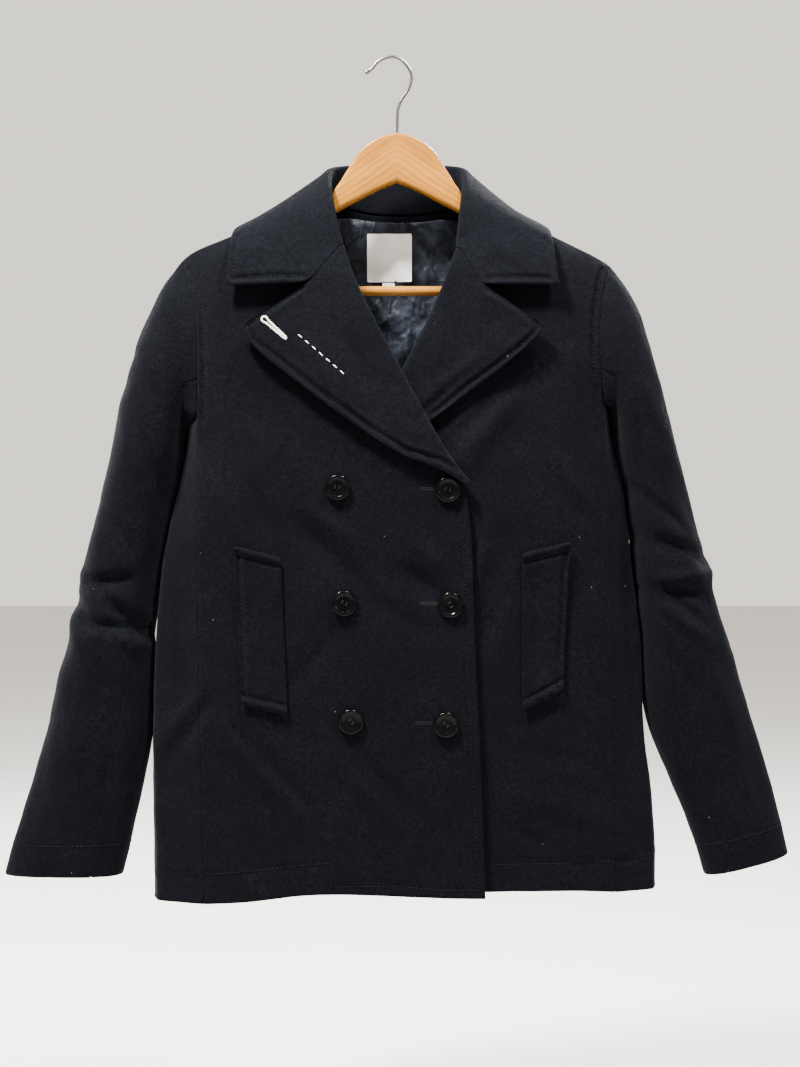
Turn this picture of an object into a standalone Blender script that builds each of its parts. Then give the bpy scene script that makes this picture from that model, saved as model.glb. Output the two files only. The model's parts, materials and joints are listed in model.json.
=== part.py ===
"""A navy double-breasted pea coat hanging on a wooden hanger, at its real size in metres, +Z up.

The coat's front looks along -Y and +X is the viewer's right. The origin is under the crown of the
wire hook, where the hook hangs on whatever holds it. All tables are in millimetres, and angles go
round the body seen from above: -90 degrees is the middle of the front and +90 the middle of the back.
"""

import bisect
import math
from collections import namedtuple

import bmesh
import bpy
from mathutils import Vector

MM = 0.001

# Cloth
WALL = 2.6                  # melton with its inner layer
FACED_WALL = 4.0            # fronts near their edge, where the facing doubles them
LEAF_WALL = 3.4             # collar and lapels, two layers
SEAM_HALF_GAP = 0.2         # each piece stops this far short of a seam line
UNDER_GAP = 1.0             # air between pieces that lie on each other
UNDERARM_GAP = 0.6          # between sleeve and side where both hang from the armhole
SLEEVE_GAP = 1.4            # and further down, where the sleeve lies along the side
ROLL_RADIUS = 5.2           # outside of the turn along the roll line
ROLL_LEAD = 1.5             # flat cloth before the turn
ROLL_REACH = ROLL_RADIUS + ROLL_LEAD

# Grids: cells along and across each piece
ROWS_BELOW_ARM = 13
ROWS_ARMHOLE = 10
ROWS_EDGE = 10
ROWS_ROLL = 9
ROWS_NECK = 4
FRONT_COLUMNS = 10
SHOULDER_COLUMNS = 8
BACK_NECK_COLUMNS = 10
SIDE_COLUMNS = 4
UNDER_SLEEVE = (8, 16)      # places round the sleeve where the under sleeve starts and ends

FRONT, BACK = -1, 1
RIDGE_SNAP = 0.999995        # a point this near the side or ridge lies on it

# Level cuts through the body: left and right reach, front and back depth, squareness of the corners
Cut = namedtuple("Cut", "z left right front back square")
BODY = [
    Cut(-110, -37, 33, 14, 30, 2.6),
    Cut(-126, -69, 63, 18, 33, 2.6),
    Cut(-144, -105, 98, 26, 37, 2.8),
    Cut(-170, -157, 148, 34, 40, 3.0),
    Cut(-193.4, -204.5, 192.5, 40, 42, 3.4),
    Cut(-198.2, -206, 201.7, 41, 42, 3.5),
    Cut(-215, -207, 205, 44, 43, 3.8),
    Cut(-250, -206, 206, 48, 44, 4.1),
    Cut(-300, -201, 204, 51, 45, 4.3),
    Cut(-347, -197, 201, 52, 46, 4.2),
    Cut(-405, -206, 214, 53, 46, 3.7),
    Cut(-482, -224.5, 226, 52, 45, 3.3),
    Cut(-551, -231.5, 233.5, 50, 44, 3.1),
    Cut(-640, -235, 236, 48, 43, 3.0),
    Cut(-728, -235, 246, 45, 41, 2.9),
    Cut(-810, -235, 247, 43, 40, 2.9),
]
NECK_POINT_LEFT = (-72, -127.5)
NECK_POINT_RIGHT = (72, -130.6)
SHOULDER_LEFT = (-204.5, -193.4)
SHOULDER_RIGHT = (201.7, -198.2)

# Seam lines on the front face of the body, as (x, z)
HEM_LEFT = [(-236, -806), (-180, -803), (-146, -801), (-90, -793), (-62, -791), (40, -795), (86, -796)]
HEM_RIGHT = [(-72, -790), (82, -791), (160, -789.5), (204, -792), (248, -797)]
HEM_BACK = [(-236, -806), (-176, -803), (0, -799), (196, -797), (248, -797)]
SIDE_SEAM_LEFT = [(-180, -803), (-182, -700), (-184, -600), (-185, -500), (-186, -400), (-187, -347)]
SIDE_SEAM_RIGHT = [(204, -792), (203, -700), (202, -600), (199, -500), (195, -400), (193, -333)]
BACK_SEAM_LEFT = [(-176, -806), (-180, -600), (-187, -347)]
BACK_SEAM_RIGHT = [(196, -797), (198, -600), (193, -333)]
ARMHOLE_LEFT = [(-187, -347), (-186, -330), (-186, -300), (-187, -257), (-191, -235), (-196.5, -218),
                (-202, -203.5), SHOULDER_LEFT]
ARMHOLE_RIGHT = [(193, -333), (190, -302), (189.5, -285), (190, -252), (193, -231.6), (197.5, -213),
                 (200.8, -203), SHOULDER_RIGHT]
FRONT_EDGE_LEFT = [(82.4, -796), (77, -654), (73.3, -583), (70.3, -512), (69.4, -460), (64, -410)]
FRONT_EDGE_RIGHT = [(-70, -790), (-70, -600), (-67.6, -409)]
# Roll lines, from the break point up to the gorge, as they show
ROLL_LEFT = [(64, -410), (39.8, -368.6), (23.2, -338.2), (-2.5, -291), (-16.4, -264.4), (-31.5, -234.4),
             (-40.8, -213), (-48.3, -187.5)]
ROLL_RIGHT = [(-67.6, -409), (-30, -355), (-1.6, -314), (6.7, -297.4), (23.4, -266.7), (40.2, -228),
              (49, -207), (54.3, -190)]
# Front neck line from the gorge to the neck point, and back neck line between the neck points
NECK_LEFT = [(-63, -170), (-68.5, -153), (-71.5, -139), NECK_POINT_LEFT]
NECK_RIGHT = [(64, -172), (69, -156), (71.8, -142), NECK_POINT_RIGHT]
BACK_NECK = [NECK_POINT_LEFT, (-67.5, -130.5), (-57, -135), (-42, -140), (-21.5, -143.2), (0, -144),
             (21.5, -143.5), (42, -141), (57, -137), (67.5, -133.5), NECK_POINT_RIGHT]

# Large folds of the hanging fronts: a soft ridge (or trough, if negative) along a line
Fold = namedtuple("Fold", "x0 z0 x1 z1 half_width height")
FOLDS = [
    Fold(-88, -444, -32, -499, 16, -2.4),
    Fold(10, -489, 44, -512, 13, -2.6),
    Fold(-164, -625, -84, -706, 15, 2.4),
    Fold(-50, -663, 2, -725, 14, 2.0),
    Fold(-222, -654, -188, -612, 13, 2.2),
    Fold(105, -328, 58, -385, 17, 2.4),
    Fold(-150, -380, -128, -450, 20, 1.6),
]

# Collar rows from the left gorge round the back of the neck: top of the fold, and outer edge
CollarRow = namedtuple("CollarRow", "fold_x fold_y fold_z edge_x edge_y edge_z lift")
COLLAR = [
    CollarRow(-56.0, -38, -165, -156.5, -44, -214, 11),
    CollarRow(-59.5, -31, -143, -155.0, -39, -198, 10),
    CollarRow(-62.5, -16, -124, -153.5, -26, -181, 8),
    CollarRow(-66.0, 1, -108, -152.0, 0, -162, 6),
    CollarRow(-64.5, 14, -101, -143.0, 26, -159, 5),
    CollarRow(-57.0, 26, -96.5, -122.0, 41, -157, 5),
    CollarRow(-43.0, 35, -93.5, -85.0, 48, -160, 5),
    CollarRow(-22.5, 40.5, -92, -42.0, 51, -166, 5),
    CollarRow(0.0, 42.5, -91.5, -1.0, 52, -169, 5),
    CollarRow(22.5, 40.5, -92, 39.0, 51, -167, 5),
    CollarRow(43.0, 35, -93.5, 79.0, 48, -162, 5),
    CollarRow(57.0, 26, -96.5, 113.0, 41, -159, 5),
    CollarRow(64.5, 14, -101, 132.0, 26, -161, 5),
    CollarRow(66.0, 1, -108, 141.0, 0, -165, 6),
    CollarRow(63.0, -16, -124, 143.5, -26, -183, 8),
    CollarRow(60.0, -31, -144, 146.0, -39, -200, 10),
    CollarRow(57.5, -38, -167, 148.0, -44, -214, 11),
]
EDGE_LIFT = 12.0            # how far the points of collar and lapels stand off the fronts
GORGE_LIFT = 9.5
UNDER_LIFT = -3.4           # of the right lapel where the left front lies over it
# Gorge line's outer end, collar point and lapel tip, as (x, z)
Gorge = namedtuple("Gorge", "notch collar_point lapel_tip")
GORGE_LEFT = Gorge((-80.4, -225), (-157.3, -228.6), (-144, -265.6))
GORGE_RIGHT = Gorge((78, -226), (149.5, -227.7), (138, -264.7))
# Outer edges of the lapels, from the break point (or where the leaf goes under) to the tip
LAPEL_EDGE_LEFT = [(59, -408.5), (53, -400), (40, -395), (6.7, -386), (-29, -363), (-64, -338), (-100, -310),
                   (-135.7, -282), (-144, -265.6)]
LAPEL_EDGE_RIGHT = [(4, -372), (30.7, -352), (65.9, -325.7), (92, -307), (113, -290.5), (130, -275),
                    (138, -264.7)]
LEAF_CELLS = 6
GORGE_CELLS = 3
FOLD_CELLS = 4
STAND_CELLS = 2
RIGHT_LAPEL_START = 4       # the right lapel begins this many rows above its break point

# Sleeve rings: outer and inner point (x, z), half depth front to back
Ring = namedtuple("Ring", "outer_x outer_z inner_x inner_z depth")
SLEEVE_LEFT = [
    Ring(-213, -204, -198.6, -357, 40), Ring(-224.5, -217.4, -201, -361, 43),
    Ring(-234, -236.6, -203, -365, 45), Ring(-246, -268, -205, -371, 46),
    Ring(-256, -300, -205, -380, 46), Ring(-266, -340, -206.5, -393, 45),
    Ring(-274.6, -386, -210, -413, 44), Ring(-285, -432, -216.8, -442, 42),
    Ring(-294.7, -463, -224, -473, 40), Ring(-303, -494, -228.5, -502, 39),
    Ring(-308, -524, -231.5, -530, 38), Ring(-313, -554, -233.8, -560, 37),
    Ring(-322, -584, -235.2, -592, 36), Ring(-331, -620, -236.5, -626, 34),
    Ring(-341, -660, -238.5, -662, 31), Ring(-352.3, -700, -242.5, -702, 28),
    Ring(-364.5, -740, -254, -742, 25), Ring(-376, -781, -262, -782, 22),
]
SLEEVE_RIGHT = [
    Ring(210, -207, 204, -351, 41), Ring(220, -220, 206.5, -356, 43),
    Ring(229, -238, 207.5, -361, 45), Ring(238, -262, 208.5, -364, 46),
    Ring(246, -290, 210, -374, 46), Ring(256, -330, 212.5, -389, 45),
    Ring(266, -372, 217, -410, 44), Ring(277, -412, 221.8, -440, 42),
    Ring(289, -448, 226.8, -472, 40), Ring(298, -480, 230, -500, 39),
    Ring(305, -508, 233.2, -528, 38), Ring(314, -540, 235.3, -558, 37),
    Ring(324, -570, 236.6, -590, 36), Ring(332, -606, 239, -624, 34),
    Ring(344, -646, 249, -662, 31), Ring(356, -684, 267, -702, 28),
    Ring(367, -722, 285, -746, 25), Ring(374.5, -761, 294.5, -782, 22),
]
SLEEVE_SQUARE = 2.3
# Folds at the elbows: ring, angle from the outer line round the front, spans and height
SleeveFold = namedtuple("SleeveFold", "ring angle ring_span angle_span height")
SLEEVE_FOLDS = [
    SleeveFold(10.6, 40, 0.9, 60, -3.6),
    SleeveFold(11.7, 95, 0.8, 60, 3.0),
    SleeveFold(12.7, 60, 0.8, 55, -2.2),
    SleeveFold(7.6, 130, 0.9, 45, -2.4),
]

# Pocket welts: corners top and bottom of the outer side, top and bottom of the inner side
Welt = namedtuple("Welt", "outer_top outer_bottom inner_top inner_bottom")
WELT_LEFT = Welt((-150.5, -467), (-144, -615), (-107, -478), (-100.7, -624.5))
WELT_RIGHT = Welt((160.5, -463), (154, -601), (116, -474), (116, -622))
WELT_WALL = 2.2
WELT_TUCK = 1.5             # the welt's ends are folded and stand higher

BUTTONS = [(-54.6, -413.6), (-48.6, -520.6), (-42.4, -630), (47.3, -415.5), (50, -522.4), (45.6, -632.8)]
BUTTON_RADIUS = 12.0
BUTTON_THICKNESS = 4.2

LINING_HALF_WIDTH = 92
LINING_BOTTOM = -430
LABEL = (-29.5, 14.8, -208.5, -161)     # left, right, bottom, top
SIZE_TAB = (-14.5, -2, -213.5, -209.2)

# Hanger
WOOD_THICKNESS = 13.0
WOOD_OUTLINE = [                        # right half, from the top of the dome round to the underside
    (0, -72.5), (11, -74.5), (22, -79), (30, -84.5), (37, -91.5), (44.5, -103), (53, -117), (60, -127.5),
    (66, -137), (80, -147), (120, -168), (176, -195), (187, -202), (190, -209), (188.5, -222), (183, -230),
    (174, -231), (167, -224), (164, -212), (158, -202), (120, -183), (66, -152), (20, -127.5), (0, -119),
]
WOOD_EDGE = 3.2
BAR_RADIUS = 4.6
BAR_HALF_LENGTH = 163.0
BAR_HEIGHT = -223.4
WIRE_RADIUS = 1.65
HOOK_PATH = [
    (-30.7, -14.5), (-24.5, -10.5), (-20, -4.8), (-13, -0.2), (-3, 1.6), (5.2, -2.2), (11.5, -10),
    (14, -19.7), (10.9, -29.8), (4.0, -40.5), (0.9, -49), (0.2, -58), (0, -71.9),
]

NAVY = (0.0075, 0.009, 0.014)
SATIN = (0.012, 0.015, 0.026)
BUTTON_BLACK = (0.006, 0.006, 0.007)
LABEL_WHITE = (0.72, 0.72, 0.72)
HONEY_WOOD = (0.56, 0.30, 0.12)
STEEL = (0.55, 0.54, 0.52)


class Track:
    """A smooth line through a table's values that never swings past its rows."""

    def __init__(self, places, values):
        rows = sorted(zip(places, values))
        self.places = [place for place, _ in rows]
        self.values = [value for _, value in rows]
        steps = [(b[1] - a[1]) / (b[0] - a[0]) for a, b in zip(rows, rows[1:])]
        self.slopes = [steps[0]]
        for before, after in zip(steps, steps[1:]):
            same_way = before * after > 0
            self.slopes.append(2 * before * after / (before + after) if same_way else 0.0)
        self.slopes.append(steps[-1])

    def __call__(self, place):
        place = min(max(place, self.places[0]), self.places[-1])
        k = min(bisect.bisect_right(self.places, place), len(self.places) - 1) - 1
        span = self.places[k + 1] - self.places[k]
        t = (place - self.places[k]) / span
        start = self.values[k] * (1 + 2 * t) * (1 - t) ** 2 + self.slopes[k] * span * t * (1 - t) ** 2
        end = self.values[k + 1] * t * t * (3 - 2 * t) - self.slopes[k + 1] * span * t * t * (1 - t)
        return start + end


def smoothstep(start, end, value):
    """0 at start, 1 at end, soft between."""
    t = min(max((value - start) / (end - start), 0.0), 1.0)
    return t * t * (3 - 2 * t)


def dense_line(points, steps=16):
    """Many points on a smooth line through the given ones."""
    points = [Vector(point) for point in points]
    if len(points) == 2:
        return [points[0].lerp(points[1], k / steps) for k in range(steps + 1)]
    ends = [2 * points[0] - points[1]] + points + [2 * points[-1] - points[-2]]
    line = []
    for a, b, c, d in zip(ends, ends[1:], ends[2:], ends[3:]):
        for k in range(steps):
            t = k / steps
            bend = (2 * a - 5 * b + 4 * c - d) * t * t + (3 * b - a - 3 * c + d) * t ** 3
            line.append(0.5 * (2 * b + (c - a) * t + bend))
    return line + [points[-1]]


def evenly(line, cells, measure=None):
    """Picks cells + 1 points from a dense line, evenly spaced along the measured copy of it."""
    measured = measure or line
    run = [0.0]
    for a, b in zip(measured, measured[1:]):
        run.append(run[-1] + (b - a).length)
    picked = []
    for k in range(cells + 1):
        goal = run[-1] * k / cells
        j = min(max(bisect.bisect_left(run, goal), 1), len(run) - 1)
        t = (goal - run[j - 1]) / max(run[j] - run[j - 1], 1e-9)
        picked.append(line[j - 1].lerp(line[j], min(t, 1.0)))
    return picked


# The body's surface

BODY_TRACKS = [Track([cut.z for cut in BODY], [cut[column] for cut in BODY]) for column in range(1, 6)]


def body_cut(z):
    left, right, front, back, square = (track(z) for track in BODY_TRACKS)
    return (left + right) / 2, (right - left) / 2, front, back, square


def bare_body(angle, z):
    """The body's outer surface with no fold or lap."""
    centre, half, front, back, square = body_cut(z)
    c, s = math.cos(angle), math.sin(angle)
    reach = (abs(c) ** square + abs(s) ** square) ** (-1 / square)
    return Vector((centre + half * c * reach, (front if s < 0 else back) * s * reach, z))


def body_normal(angle, z):
    step = 0.01
    round_way = bare_body(angle + step, z) - bare_body(angle - step, z)
    up_way = bare_body(angle, z + 1) - bare_body(angle, z - 1)
    return round_way.cross(up_way).normalized()


def angle_at(x, z, face):
    """The angle of a point on the front or back face, between -pi and pi."""
    centre, half, _, _, square = body_cut(z)
    across = min(max((x - centre) / half, -1.0), 1.0)
    deep = (1 - abs(across) ** square) ** (1 / square) if abs(across) < RIDGE_SNAP else 0.0
    return math.atan2(face * deep, across)


def fold_lift(x, z):
    """How far the hanging cloth's large folds stand out (or in) at a place on the fronts."""
    lift = 0.0
    for fold in FOLDS:
        start = Vector((fold.x0, fold.z0))
        along = Vector((fold.x1, fold.z1)) - start
        place = Vector((x, z)) - start
        t = min(max(place.dot(along) / along.length_squared, 0.0), 1.0)
        away = (place - along * t).length / fold.half_width
        lift += fold.height * math.exp(-away * away) * (0.35 + 0.65 * math.sin(math.pi * (0.15 + 0.7 * t)))
    return lift


def body(angle, z, lift=0.0):
    """A point on the body, moved out by a lift and by the large folds of its front."""
    bare = bare_body(angle, z)
    if math.sin(angle) < 0:
        lift += fold_lift(bare.x, z) * smoothstep(0, -20, bare.y)
    return bare + body_normal(angle, z) * lift if lift else bare


def on_front(x, z, lift=0.0):
    return body(angle_at(x, z, FRONT), z, lift)


def distance_out(point):
    """Distance of a point from the body's outer surface, and the way out."""
    def level(place):
        centre, half, front, back, square = body_cut(place.z)
        depth = front if place.y < 0 else back
        return (abs((place.x - centre) / half) ** square + abs(place.y / depth) ** square) ** (1 / square)

    steps = (Vector((1, 0, 0)), Vector((0, 1, 0)), Vector((0, 0, 1)))
    slope = Vector([(level(point + step) - level(point - step)) / 2 for step in steps])
    return (level(point) - 1) / slope.length, slope.normalized()


def settle(point, lift, only_out=False):
    """Moves a point to a set distance from the body."""
    for _ in range(4):
        distance, out = distance_out(point)
        if not (only_out and distance >= lift):
            point = point + out * (lift - distance)
    return point


def left_lap(x, z):
    """The left front lies over the right one."""
    return 2.0 * smoothstep(-112, -62, x) * smoothstep(-195, -255, z)


def right_lap(x, z):
    """The right front lies under the left one, and dips further where its own lapel goes under too."""
    under = 3.8 * smoothstep(150, 100, x) * smoothstep(-195, -255, z)
    lapel = 6.0 * smoothstep(84, 40, x) * smoothstep(-470, -425, z) * smoothstep(-200, -250, z)
    return -under - lapel


# Seam lines as (x, z) pairs on one face of the body

def on_face(spot, face):
    return bare_body(angle_at(spot.x, spot.y, face), spot.y)


def seam(points, cells, face):
    """A seam line on one face of the body, with even steps in space."""
    flat = dense_line(points)
    return evenly(flat, cells, [on_face(spot, face) for spot in flat])


def joined(*lines):
    """Lines end to end, without the doubled points where they meet."""
    whole = list(lines[0])
    for line in lines[1:]:
        whole += line[1:]
    return whole


def shoulder_line(tip, neck, cells):
    """Along the ridge of the shoulder from its tip to the neck point."""
    line = []
    for k in range(cells + 1):
        z = tip[1] + (neck[1] - tip[1]) * k / cells
        line.append(Vector((bare_body(math.pi if tip[0] < 0 else 0.0, z).x, z)))
    return line


def hem_line(start_x, end_x, hem, cells):
    heights = Track([x for x, _ in hem], [z for _, z in hem])
    places = [start_x + (end_x - start_x) * k / cells for k in range(cells + 1)]
    return [Vector((x, heights(x))) for x in places]


def roll_base(roll):
    """The line where a front ends and its lapel turns over, inside the roll line that shows."""
    line = evenly(dense_line(roll), ROWS_ROLL)
    outward = -1 if roll[-1][0] < 0 else 1
    base = []
    for k, point in enumerate(line):
        ahead = line[min(k + 1, ROWS_ROLL)] - line[max(k - 1, 0)]
        away = Vector((ahead.y, -ahead.x)).normalized() * outward
        base.append(point + away * ROLL_REACH * smoothstep(-0.6, 1.2, k))
    return base


def patch(bottom, top, left, right):
    """Fills four seam lines, blending opposite ones, as rows of places from bottom to top."""
    rows = []
    for j, (left_end, right_end) in enumerate(zip(left, right)):
        t = j / (len(left) - 1)
        row = []
        for i, (low, high) in enumerate(zip(bottom, top)):
            s = i / (len(bottom) - 1)
            corners = ((1 - s) * ((1 - t) * left[0] + t * left[-1]) + s * ((1 - t) * right[0] + t * right[-1]))
            row.append((1 - t) * low + t * high + (1 - s) * left_end + s * right_end - corners)
        rows.append(row)
    return rows


class Sheet:
    """A piece of cloth: rows of outer points, the way out at each, and the wall's thickness there."""

    def __init__(self, name, points, normals, walls):
        self.name = name
        self.points = points
        self.normals = normals
        self.walls = walls

    def rim(self):
        last_row, last_column = len(self.points) - 1, len(self.points[0]) - 1
        for j, row in enumerate(self.points):
            for i in range(len(row)):
                if j in (0, last_row) or i in (0, last_column):
                    yield j, i


def even_walls(points, wall):
    return [[wall] * len(row) for row in points]


def grid_normals(points, outward=1):
    """The way out at each point of a grid, from its neighbours."""
    rows, columns = len(points), len(points[0])
    normals = []
    for j in range(rows):
        row = []
        for i in range(columns):
            across = points[j][min(i + 1, columns - 1)] - points[j][max(i - 1, 0)]
            along = points[min(j + 1, rows - 1)][i] - points[max(j - 1, 0)][i]
            row.append(across.cross(along).normalized() * outward)
        normals.append(row)
    return normals


def body_sheet(name, patch_rows, lap=None, faced_side=None):
    """A panel of the body from its filled seam lines."""
    points, normals, walls = [], [], []
    for row in patch_rows:
        lifts = [lap(bare_body(*spot).x, spot.y) if lap else 0.0 for spot in row]
        points.append([body(spot.x, spot.y, lift) for spot, lift in zip(row, lifts)])
        normals.append([body_normal(*spot) for spot in row])
        shares = [i / (len(row) - 1) for i in range(len(row))]
        if faced_side:
            shares = shares if faced_side > 0 else shares[::-1]
            faced = (FACED_WALL - WALL) * smoothstep(-160, -184, row[len(row) // 2].y)
            walls.append([WALL + faced * smoothstep(0.6, 0.9, share) for share in shares])
        else:
            walls.append([WALL] * len(row))
    return Sheet(name, points, normals, walls)


def turned(rows, face):
    """Rows of (x, z) on one face as rows of (angle, z)."""
    return [[Vector((angle_at(spot.x, spot.y, face), spot.y)) for spot in row] for row in rows]


def make_seams():
    """Every seam line of the body, by name."""
    lines = {}
    lines["side_left"] = seam(SIDE_SEAM_LEFT, ROWS_BELOW_ARM, FRONT)
    lines["side_right"] = seam(SIDE_SEAM_RIGHT, ROWS_BELOW_ARM, FRONT)
    lines["back_left"] = seam(BACK_SEAM_LEFT, ROWS_BELOW_ARM, BACK)
    lines["back_right"] = seam(BACK_SEAM_RIGHT, ROWS_BELOW_ARM, BACK)
    for side, armhole in (("left", ARMHOLE_LEFT), ("right", ARMHOLE_RIGHT)):
        lines["arm_front_" + side] = seam(armhole, ROWS_ARMHOLE, FRONT)
        lines["arm_back_" + side] = seam(armhole, ROWS_ARMHOLE, BACK)
    return lines


def make_fronts(lines):
    sheets = {}
    plans = (
        ("left", FRONT_EDGE_LEFT, ROLL_LEFT, NECK_LEFT, HEM_LEFT, SHOULDER_LEFT, NECK_POINT_LEFT, left_lap),
        ("right", FRONT_EDGE_RIGHT, ROLL_RIGHT, NECK_RIGHT, HEM_RIGHT, SHOULDER_RIGHT, NECK_POINT_RIGHT,
         right_lap),
    )
    for side, edge, roll, neck, hem, shoulder, neck_point, lap in plans:
        base = roll_base(roll)
        outer = joined(lines["side_" + side], lines["arm_front_" + side])
        opening = joined(
            seam(edge[:-1] + [tuple(base[0])], ROWS_EDGE, FRONT),
            base,
            seam([tuple(base[-1])] + neck, ROWS_NECK, FRONT),
        )
        top = shoulder_line(shoulder, neck_point, FRONT_COLUMNS)
        bottom = hem_line(outer[0].x, edge[0][0], hem, FRONT_COLUMNS)
        opening[0], opening[-1], outer[-1] = bottom[-1], top[-1], top[0]
        if side == "left":
            rows = patch(bottom, top, outer, opening)
        else:
            rows = patch(bottom[::-1], top[::-1], opening, outer)
        sheets[side] = body_sheet("front_" + side, turned(rows, FRONT), lap, 1 if side == "left" else -1)
    return sheets


def make_back(lines):
    left = joined(lines["back_left"], lines["arm_back_left"])
    right = joined(lines["back_right"], lines["arm_back_right"])
    top = joined(
        shoulder_line(SHOULDER_LEFT, NECK_POINT_LEFT, SHOULDER_COLUMNS),
        seam(BACK_NECK, BACK_NECK_COLUMNS, BACK),
        shoulder_line(SHOULDER_RIGHT, NECK_POINT_RIGHT, SHOULDER_COLUMNS)[::-1],
    )
    bottom = hem_line(BACK_SEAM_LEFT[0][0], BACK_SEAM_RIGHT[0][0], HEM_BACK, len(top) - 1)
    left[0], left[-1], right[0], right[-1] = bottom[0], top[0], bottom[-1], top[-1]
    return body_sheet("back", turned(patch(bottom, top, left, right), BACK))


def make_side(lines, side):
    """The panel under the arm, from the front seam round to the back one."""
    front, back = turned([lines["side_" + side]], FRONT)[0], turned([lines["back_" + side]], BACK)[0]
    turn = 2 * math.pi if side == "left" else 0.0
    front = [Vector((spot.x + turn, spot.y)) for spot in front]
    ends = []
    for low in (True, False):
        start, end = (front[0], back[0]) if low else (front[-1], back[-1])
        row = [start.lerp(end, k / SIDE_COLUMNS) for k in range(SIDE_COLUMNS + 1)]
        dip = 0.0 if low else 6.0
        ends.append([spot - Vector((0, dip * math.sin(math.pi * k / SIDE_COLUMNS))) for k, spot in enumerate(row)])
    if side == "left":
        rows = patch(ends[0][::-1], ends[1][::-1], back, front)
    else:
        rows = patch(ends[0], ends[1], front, back)
    return body_sheet("side_" + side, rows)


def armhole_loop(front, side_panel, back, side):
    """The armhole's points from the shoulder tip down the front, under the arm and up the back."""
    if side == "left":
        down = [row[0] for row in front.points[ROWS_BELOW_ARM:]][::-1]
        under = side_panel.points[-1][::-1]
        up = [row[0] for row in back.points[ROWS_BELOW_ARM:]]
    else:
        down = [row[-1] for row in front.points[ROWS_BELOW_ARM:]][::-1]
        under = side_panel.points[-1]
        up = [row[-1] for row in back.points[ROWS_BELOW_ARM:]]
    loop = down + under[1:] + up[1:-1]
    first, last = UNDER_SLEEVE
    way = side_panel.normals[-1][SIDE_COLUMNS // 2]
    for place in range(first + 1, last):
        middle = 1 - abs(2 * (place - first) / (last - first) - 1)
        loop[place] = loop[place] + way * UNDERARM_GAP * min(2 * middle, 1)
    return loop


def sleeve_point(ring, angle, grow=0.0):
    outer, inner = Vector((ring.outer_x, 0, ring.outer_z)), Vector((ring.inner_x, 0, ring.inner_z))
    centre, arm = (outer + inner) / 2, (outer - inner) / 2
    c, s = math.cos(angle), math.sin(angle)
    reach = (abs(c) ** SLEEVE_SQUARE + abs(s) ** SLEEVE_SQUARE) ** (-1 / SLEEVE_SQUARE)
    scale = reach * (1 + grow / arm.length)
    return centre + arm * c * scale + Vector((0, -ring.depth * s * scale, 0))


def sleeve_fold(ring_index, angle):
    degrees = math.degrees(angle)
    lift = 0.0
    for fold in SLEEVE_FOLDS:
        away = ((ring_index - fold.ring) / fold.ring_span) ** 2 + ((degrees - fold.angle) / fold.angle_span) ** 2
        lift += fold.height * math.exp(-away)
    return lift


def make_sleeve(loop, rings, side):
    """Upper and under sleeve, as two sheets of one tube that starts at the armhole."""
    top, bottom = loop[0].z, min(point.z for point in loop)
    deepest = max(abs(point.y) for point in loop)
    middle, half = (top + bottom) / 2, (top - bottom) / 2
    count = len(loop)
    loop_angles = [math.atan2(-point.y / deepest, (point.z - middle) / half) % (2 * math.pi) for point in loop]
    loop_angles[0] = 0.0
    tube = [loop]
    for r, ring in enumerate(rings):
        even = smoothstep(0, 6, r)
        row = []
        for i in range(count):
            angle = loop_angles[i] * (1 - even) + 2 * math.pi * i / count * even
            place = sleeve_point(ring, angle, sleeve_fold(r + 1, angle))
            row.append(settle(place, min(UNDERARM_GAP + 0.5 * r, SLEEVE_GAP), only_out=True))
        tube.append(row)
    handed = -1 if side == "left" else 1
    closed = [row + row[:2] for row in tube]
    around = [row[-3:-2] + row for row in closed]
    normals = [row[1:count + 2] for row in grid_normals(around, handed)]
    first, last = UNDER_SLEEVE
    sheets = []
    for name, start, cells in (("sleeve_under_", first, last - first), ("sleeve_upper_", last, count - last + first)):
        places = [(start + k) % count for k in range(cells + 1)]
        points = [[row[i] for i in places] for row in tube]
        ways = [[row[i] for i in places] for row in normals]
        sheets.append(Sheet(name + side, points, ways, even_walls(points, WALL)))
    return sheets


# Lapels and collar: each row is a section through stand, fold and leaf

def turned_section(start, lead_end, turn_centre, inner_way, top_way, leaf):
    """Stand, half-round fold and leaf of one row on the face that shows, and its way out up to the leaf."""
    section = [start.lerp(lead_end, k / STAND_CELLS) for k in range(STAND_CELLS)]
    ways = [inner_way] * STAND_CELLS
    for k in range(FOLD_CELLS + 1):
        angle = math.pi * k / FOLD_CELLS
        ways.append(inner_way * math.cos(angle) + top_way * math.sin(angle))
        section.append(turn_centre + ways[-1] * ROLL_RADIUS)
    return section + leaf[1:], ways


def leaf_sheet(name, sections, outward):
    """A lapel or collar from its rows; past the fold the way out comes from the neighbours."""
    points = [section for section, _ in sections]
    normals = grid_normals(points, outward)
    for row, (_, ways) in zip(normals, sections):
        row[:len(ways)] = ways
    return Sheet(name, points, normals, even_walls(points, LEAF_WALL))


def roll_frame(sheet, row, column):
    """Base point on the front's opening edge, its normal, and the way across the edge into the opening."""
    point, normal = sheet.points[row][column], sheet.normals[row][column]
    last = len(sheet.points) - 1
    along = sheet.points[min(row + 1, last)][column] - sheet.points[max(row - 1, 0)][column]
    into = normal.cross(along).normalized()
    if into.dot(sheet.points[row][column] - sheet.points[row][1 if column == -1 else -2]) < 0:
        into = -into
    return point, normal, into


def rolled_row(sheet, row, column, leaf_of):
    """A lapel row: the cloth turns over the front's edge and comes back as the leaf."""
    point, normal, into = roll_frame(sheet, row, column)
    start = point - normal * FACED_WALL
    lead_end = start + into * ROLL_LEAD
    centre = lead_end + normal * ROLL_RADIUS
    leaf_start = centre + normal * ROLL_RADIUS
    return turned_section(start, lead_end, centre, -normal, into, leaf_of(leaf_start))


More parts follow.
